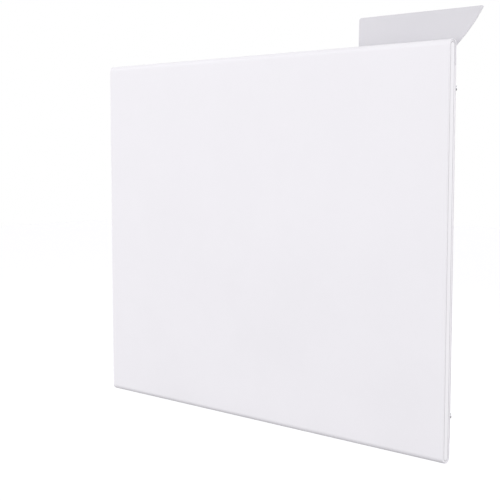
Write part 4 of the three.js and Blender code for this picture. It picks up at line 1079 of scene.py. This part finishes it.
def makeScrewMaster(length):
    shape = screwShape
    top = shape["headHeight"]
    piece = newCylinder("screw_master", shape["headRadius"], 0, top, shape["sides"])
    startEdit(piece)
    choose(piece, "FACE", lambda face: facing(face, z=-1))
    bpy.ops.mesh.extrude_region_move(TRANSFORM_OT_translate={"value": (0, 0, 0)})
    narrow = shape["shankRadius"] / shape["headRadius"]
    bpy.ops.transform.resize(value=(narrow, narrow, 1), center_override=(0, 0, 0))
    bpy.ops.mesh.extrude_region_move(TRANSFORM_OT_translate={"value": (0, 0, -length)})
    choose(piece, "EDGE", lambda edge: all(same(v.co.z, top) for v in edge.verts))
    bpy.ops.mesh.bevel(
        offset=shape["headRound"], segments=shape["roundSegments"], profile=0.5, affect="EDGES")
    endEdit()
    halfLength, halfWidth = shape["recessLength"] / 2, shape["recessWidth"] / 2
    for turn in (0, 90):
        cutter = newBox("recess", (-halfLength, -halfWidth, 0),
                        (halfLength, halfWidth, shape["recessDepth"] + shape["overrun"]))
        cutter.data.transform(Matrix.Rotation(math.radians(turn), 4, "Z"))
        cutter.data.transform(Matrix.Translation((0, 0, top - shape["recessDepth"])))
        applied(piece, "BOOLEAN", operation="DIFFERENCE", object=cutter, solver="EXACT")
        bpy.data.objects.remove(cutter)
    return smoothed(piece, shape["shadeAngle"])


def endWallOut(sign):  # the way the leaning end wall on this side faces
    low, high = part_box("side_housing_right")
    corners = [v.co for v in nodes["side_housing_right"].data.vertices]
    rearX = max(c.x for c in corners if same(c.y, high.y))
    return Vector((sign * (high.y - low.y), high.x - rearX, 0)).normalized()


def makeScrews():
    for kind, length in screwLengths.items():
        master = makeScrewMaster(length)
        for node in [n for n in nodes if n.startswith(kind + "_screw")]:
            corners = [v.co for v in nodes[node].data.vertices]
            sign = -1 if "left" in node else 1
            out = endWallOut(sign) if kind == "side" else Vector((0, 1, 0))
            middle = sum(corners, Vector()) / len(corners)
            tail = min(corner.dot(out) for corner in corners)
            turn = out.to_track_quat("Z", "Y").to_matrix().to_4x4()
            turn.translation = middle + out * (tail - middle.dot(out) + length)
            piece = copied(master, node + "_cross", turn)
            fitted(piece, node, "zinc_steel", finishes["brightSteel"])
        bpy.data.objects.remove(master)


makeScrews()
print("screws ready")


# floor, light and camera

stand = {"drop": 0.32, "size": 14.0, "colour": (0.93, 0.93, 0.94), "roughness": 0.9, "lift": 0.12}


def makeFloor():
    low, high = cadBox
    bpy.ops.mesh.primitive_plane_add(size=stand["size"], location=(0, 0, low[2] - stand["drop"]))
    floor = added("studio_floor")
    material, tree, shader = newMaterial("paleFloor")
    shader.inputs["Base Color"].default_value = (*stand["colour"], 1)
    shader.inputs["Roughness"].default_value = stand["roughness"]
    shader.inputs["Emission Color"].default_value = (1, 1, 1, 1)
    shader.inputs["Emission Strength"].default_value = stand["lift"]
    floor.data.materials.append(material)
    floor.visible_diffuse = False  # the light from below stays even
    floor.visible_glossy = False


lights = {
    "below": (0.28, 0.28, 0.29),  # colour of the light from below, level and above
    "level": (1.42, 1.415, 1.425),
    "above": (0.66, 0.66, 0.67),
    "lowerRange": (-0.6, 0.1),  # from straight down at -1 to straight up at 1
    "upperRange": (0.2, 0.9),
    "backdrop": (1.0, 1.0, 1.0),  # what the camera sees behind the object
    "key": ((-1.8, -3.0, 0.9), 2.6, 19),  # place, size, power
    "side": ((2.8, -0.2, 0.6), 1.6, 6),
    "back": ((0.6, 2.6, 0.9), 1.8, 6),
}


def makeLights():
    world = bpy.data.worlds.new("studioWorld")
    bpy.context.scene.world = world
    world.use_nodes = True
    tree = world.node_tree
    background = tree.nodes["Background"]
    direction = tree.nodes.new("ShaderNodeTexCoord").outputs["Generated"]
    parts = tree.nodes.new("ShaderNodeSeparateXYZ")
    tree.links.new(direction, parts.inputs[0])
    lower = rangeNode(tree, parts.outputs["Z"], *lights["lowerRange"])
    upper = rangeNode(tree, parts.outputs["Z"], *lights["upperRange"])
    soft = mixColour(tree, lower, lights["below"], lights["level"])
    soft = mixColour(tree, upper, soft, lights["above"])
    seen = tree.nodes.new("ShaderNodeLightPath").outputs["Is Camera Ray"]
    tree.links.new(mixColour(tree, seen, soft, lights["backdrop"]), background.inputs["Color"])
    bpy.context.scene.view_settings.view_transform = "Standard"
    for name in ("key", "side", "back"):
        place, size, power = lights[name]
        lamp = bpy.data.lights.new(name, "AREA")
        lamp.size = size
        lamp.energy = power
        holder = bpy.data.objects.new(name + "_light", lamp)
        bpy.context.scene.collection.objects.link(holder)
        holder.location = place
        holder.rotation_euler = (-Vector(place)).to_track_quat("-Z", "Y").to_euler()


view = {"place": (0.838, -0.991, 0.103), "yaw": 42.9, "pitch": 5.25, "lens": 76.5, "sensor": 36,
        "nearest": 0.01}


def makeCamera():
    data = bpy.data.cameras.new("photo_camera")
    data.lens = view["lens"]
    data.sensor_width = view["sensor"]
    data.clip_start = view["nearest"]
    camera = bpy.data.objects.new("photo_camera", data)
    bpy.context.scene.collection.objects.link(camera)
    camera.location = view["place"]
    camera.rotation_euler = (math.radians(90 - view["pitch"]), 0, math.radians(view["yaw"]))
    bpy.context.scene.camera = camera


makeFloor()
makeLights()
makeCamera()
print("floor, light and camera ready")
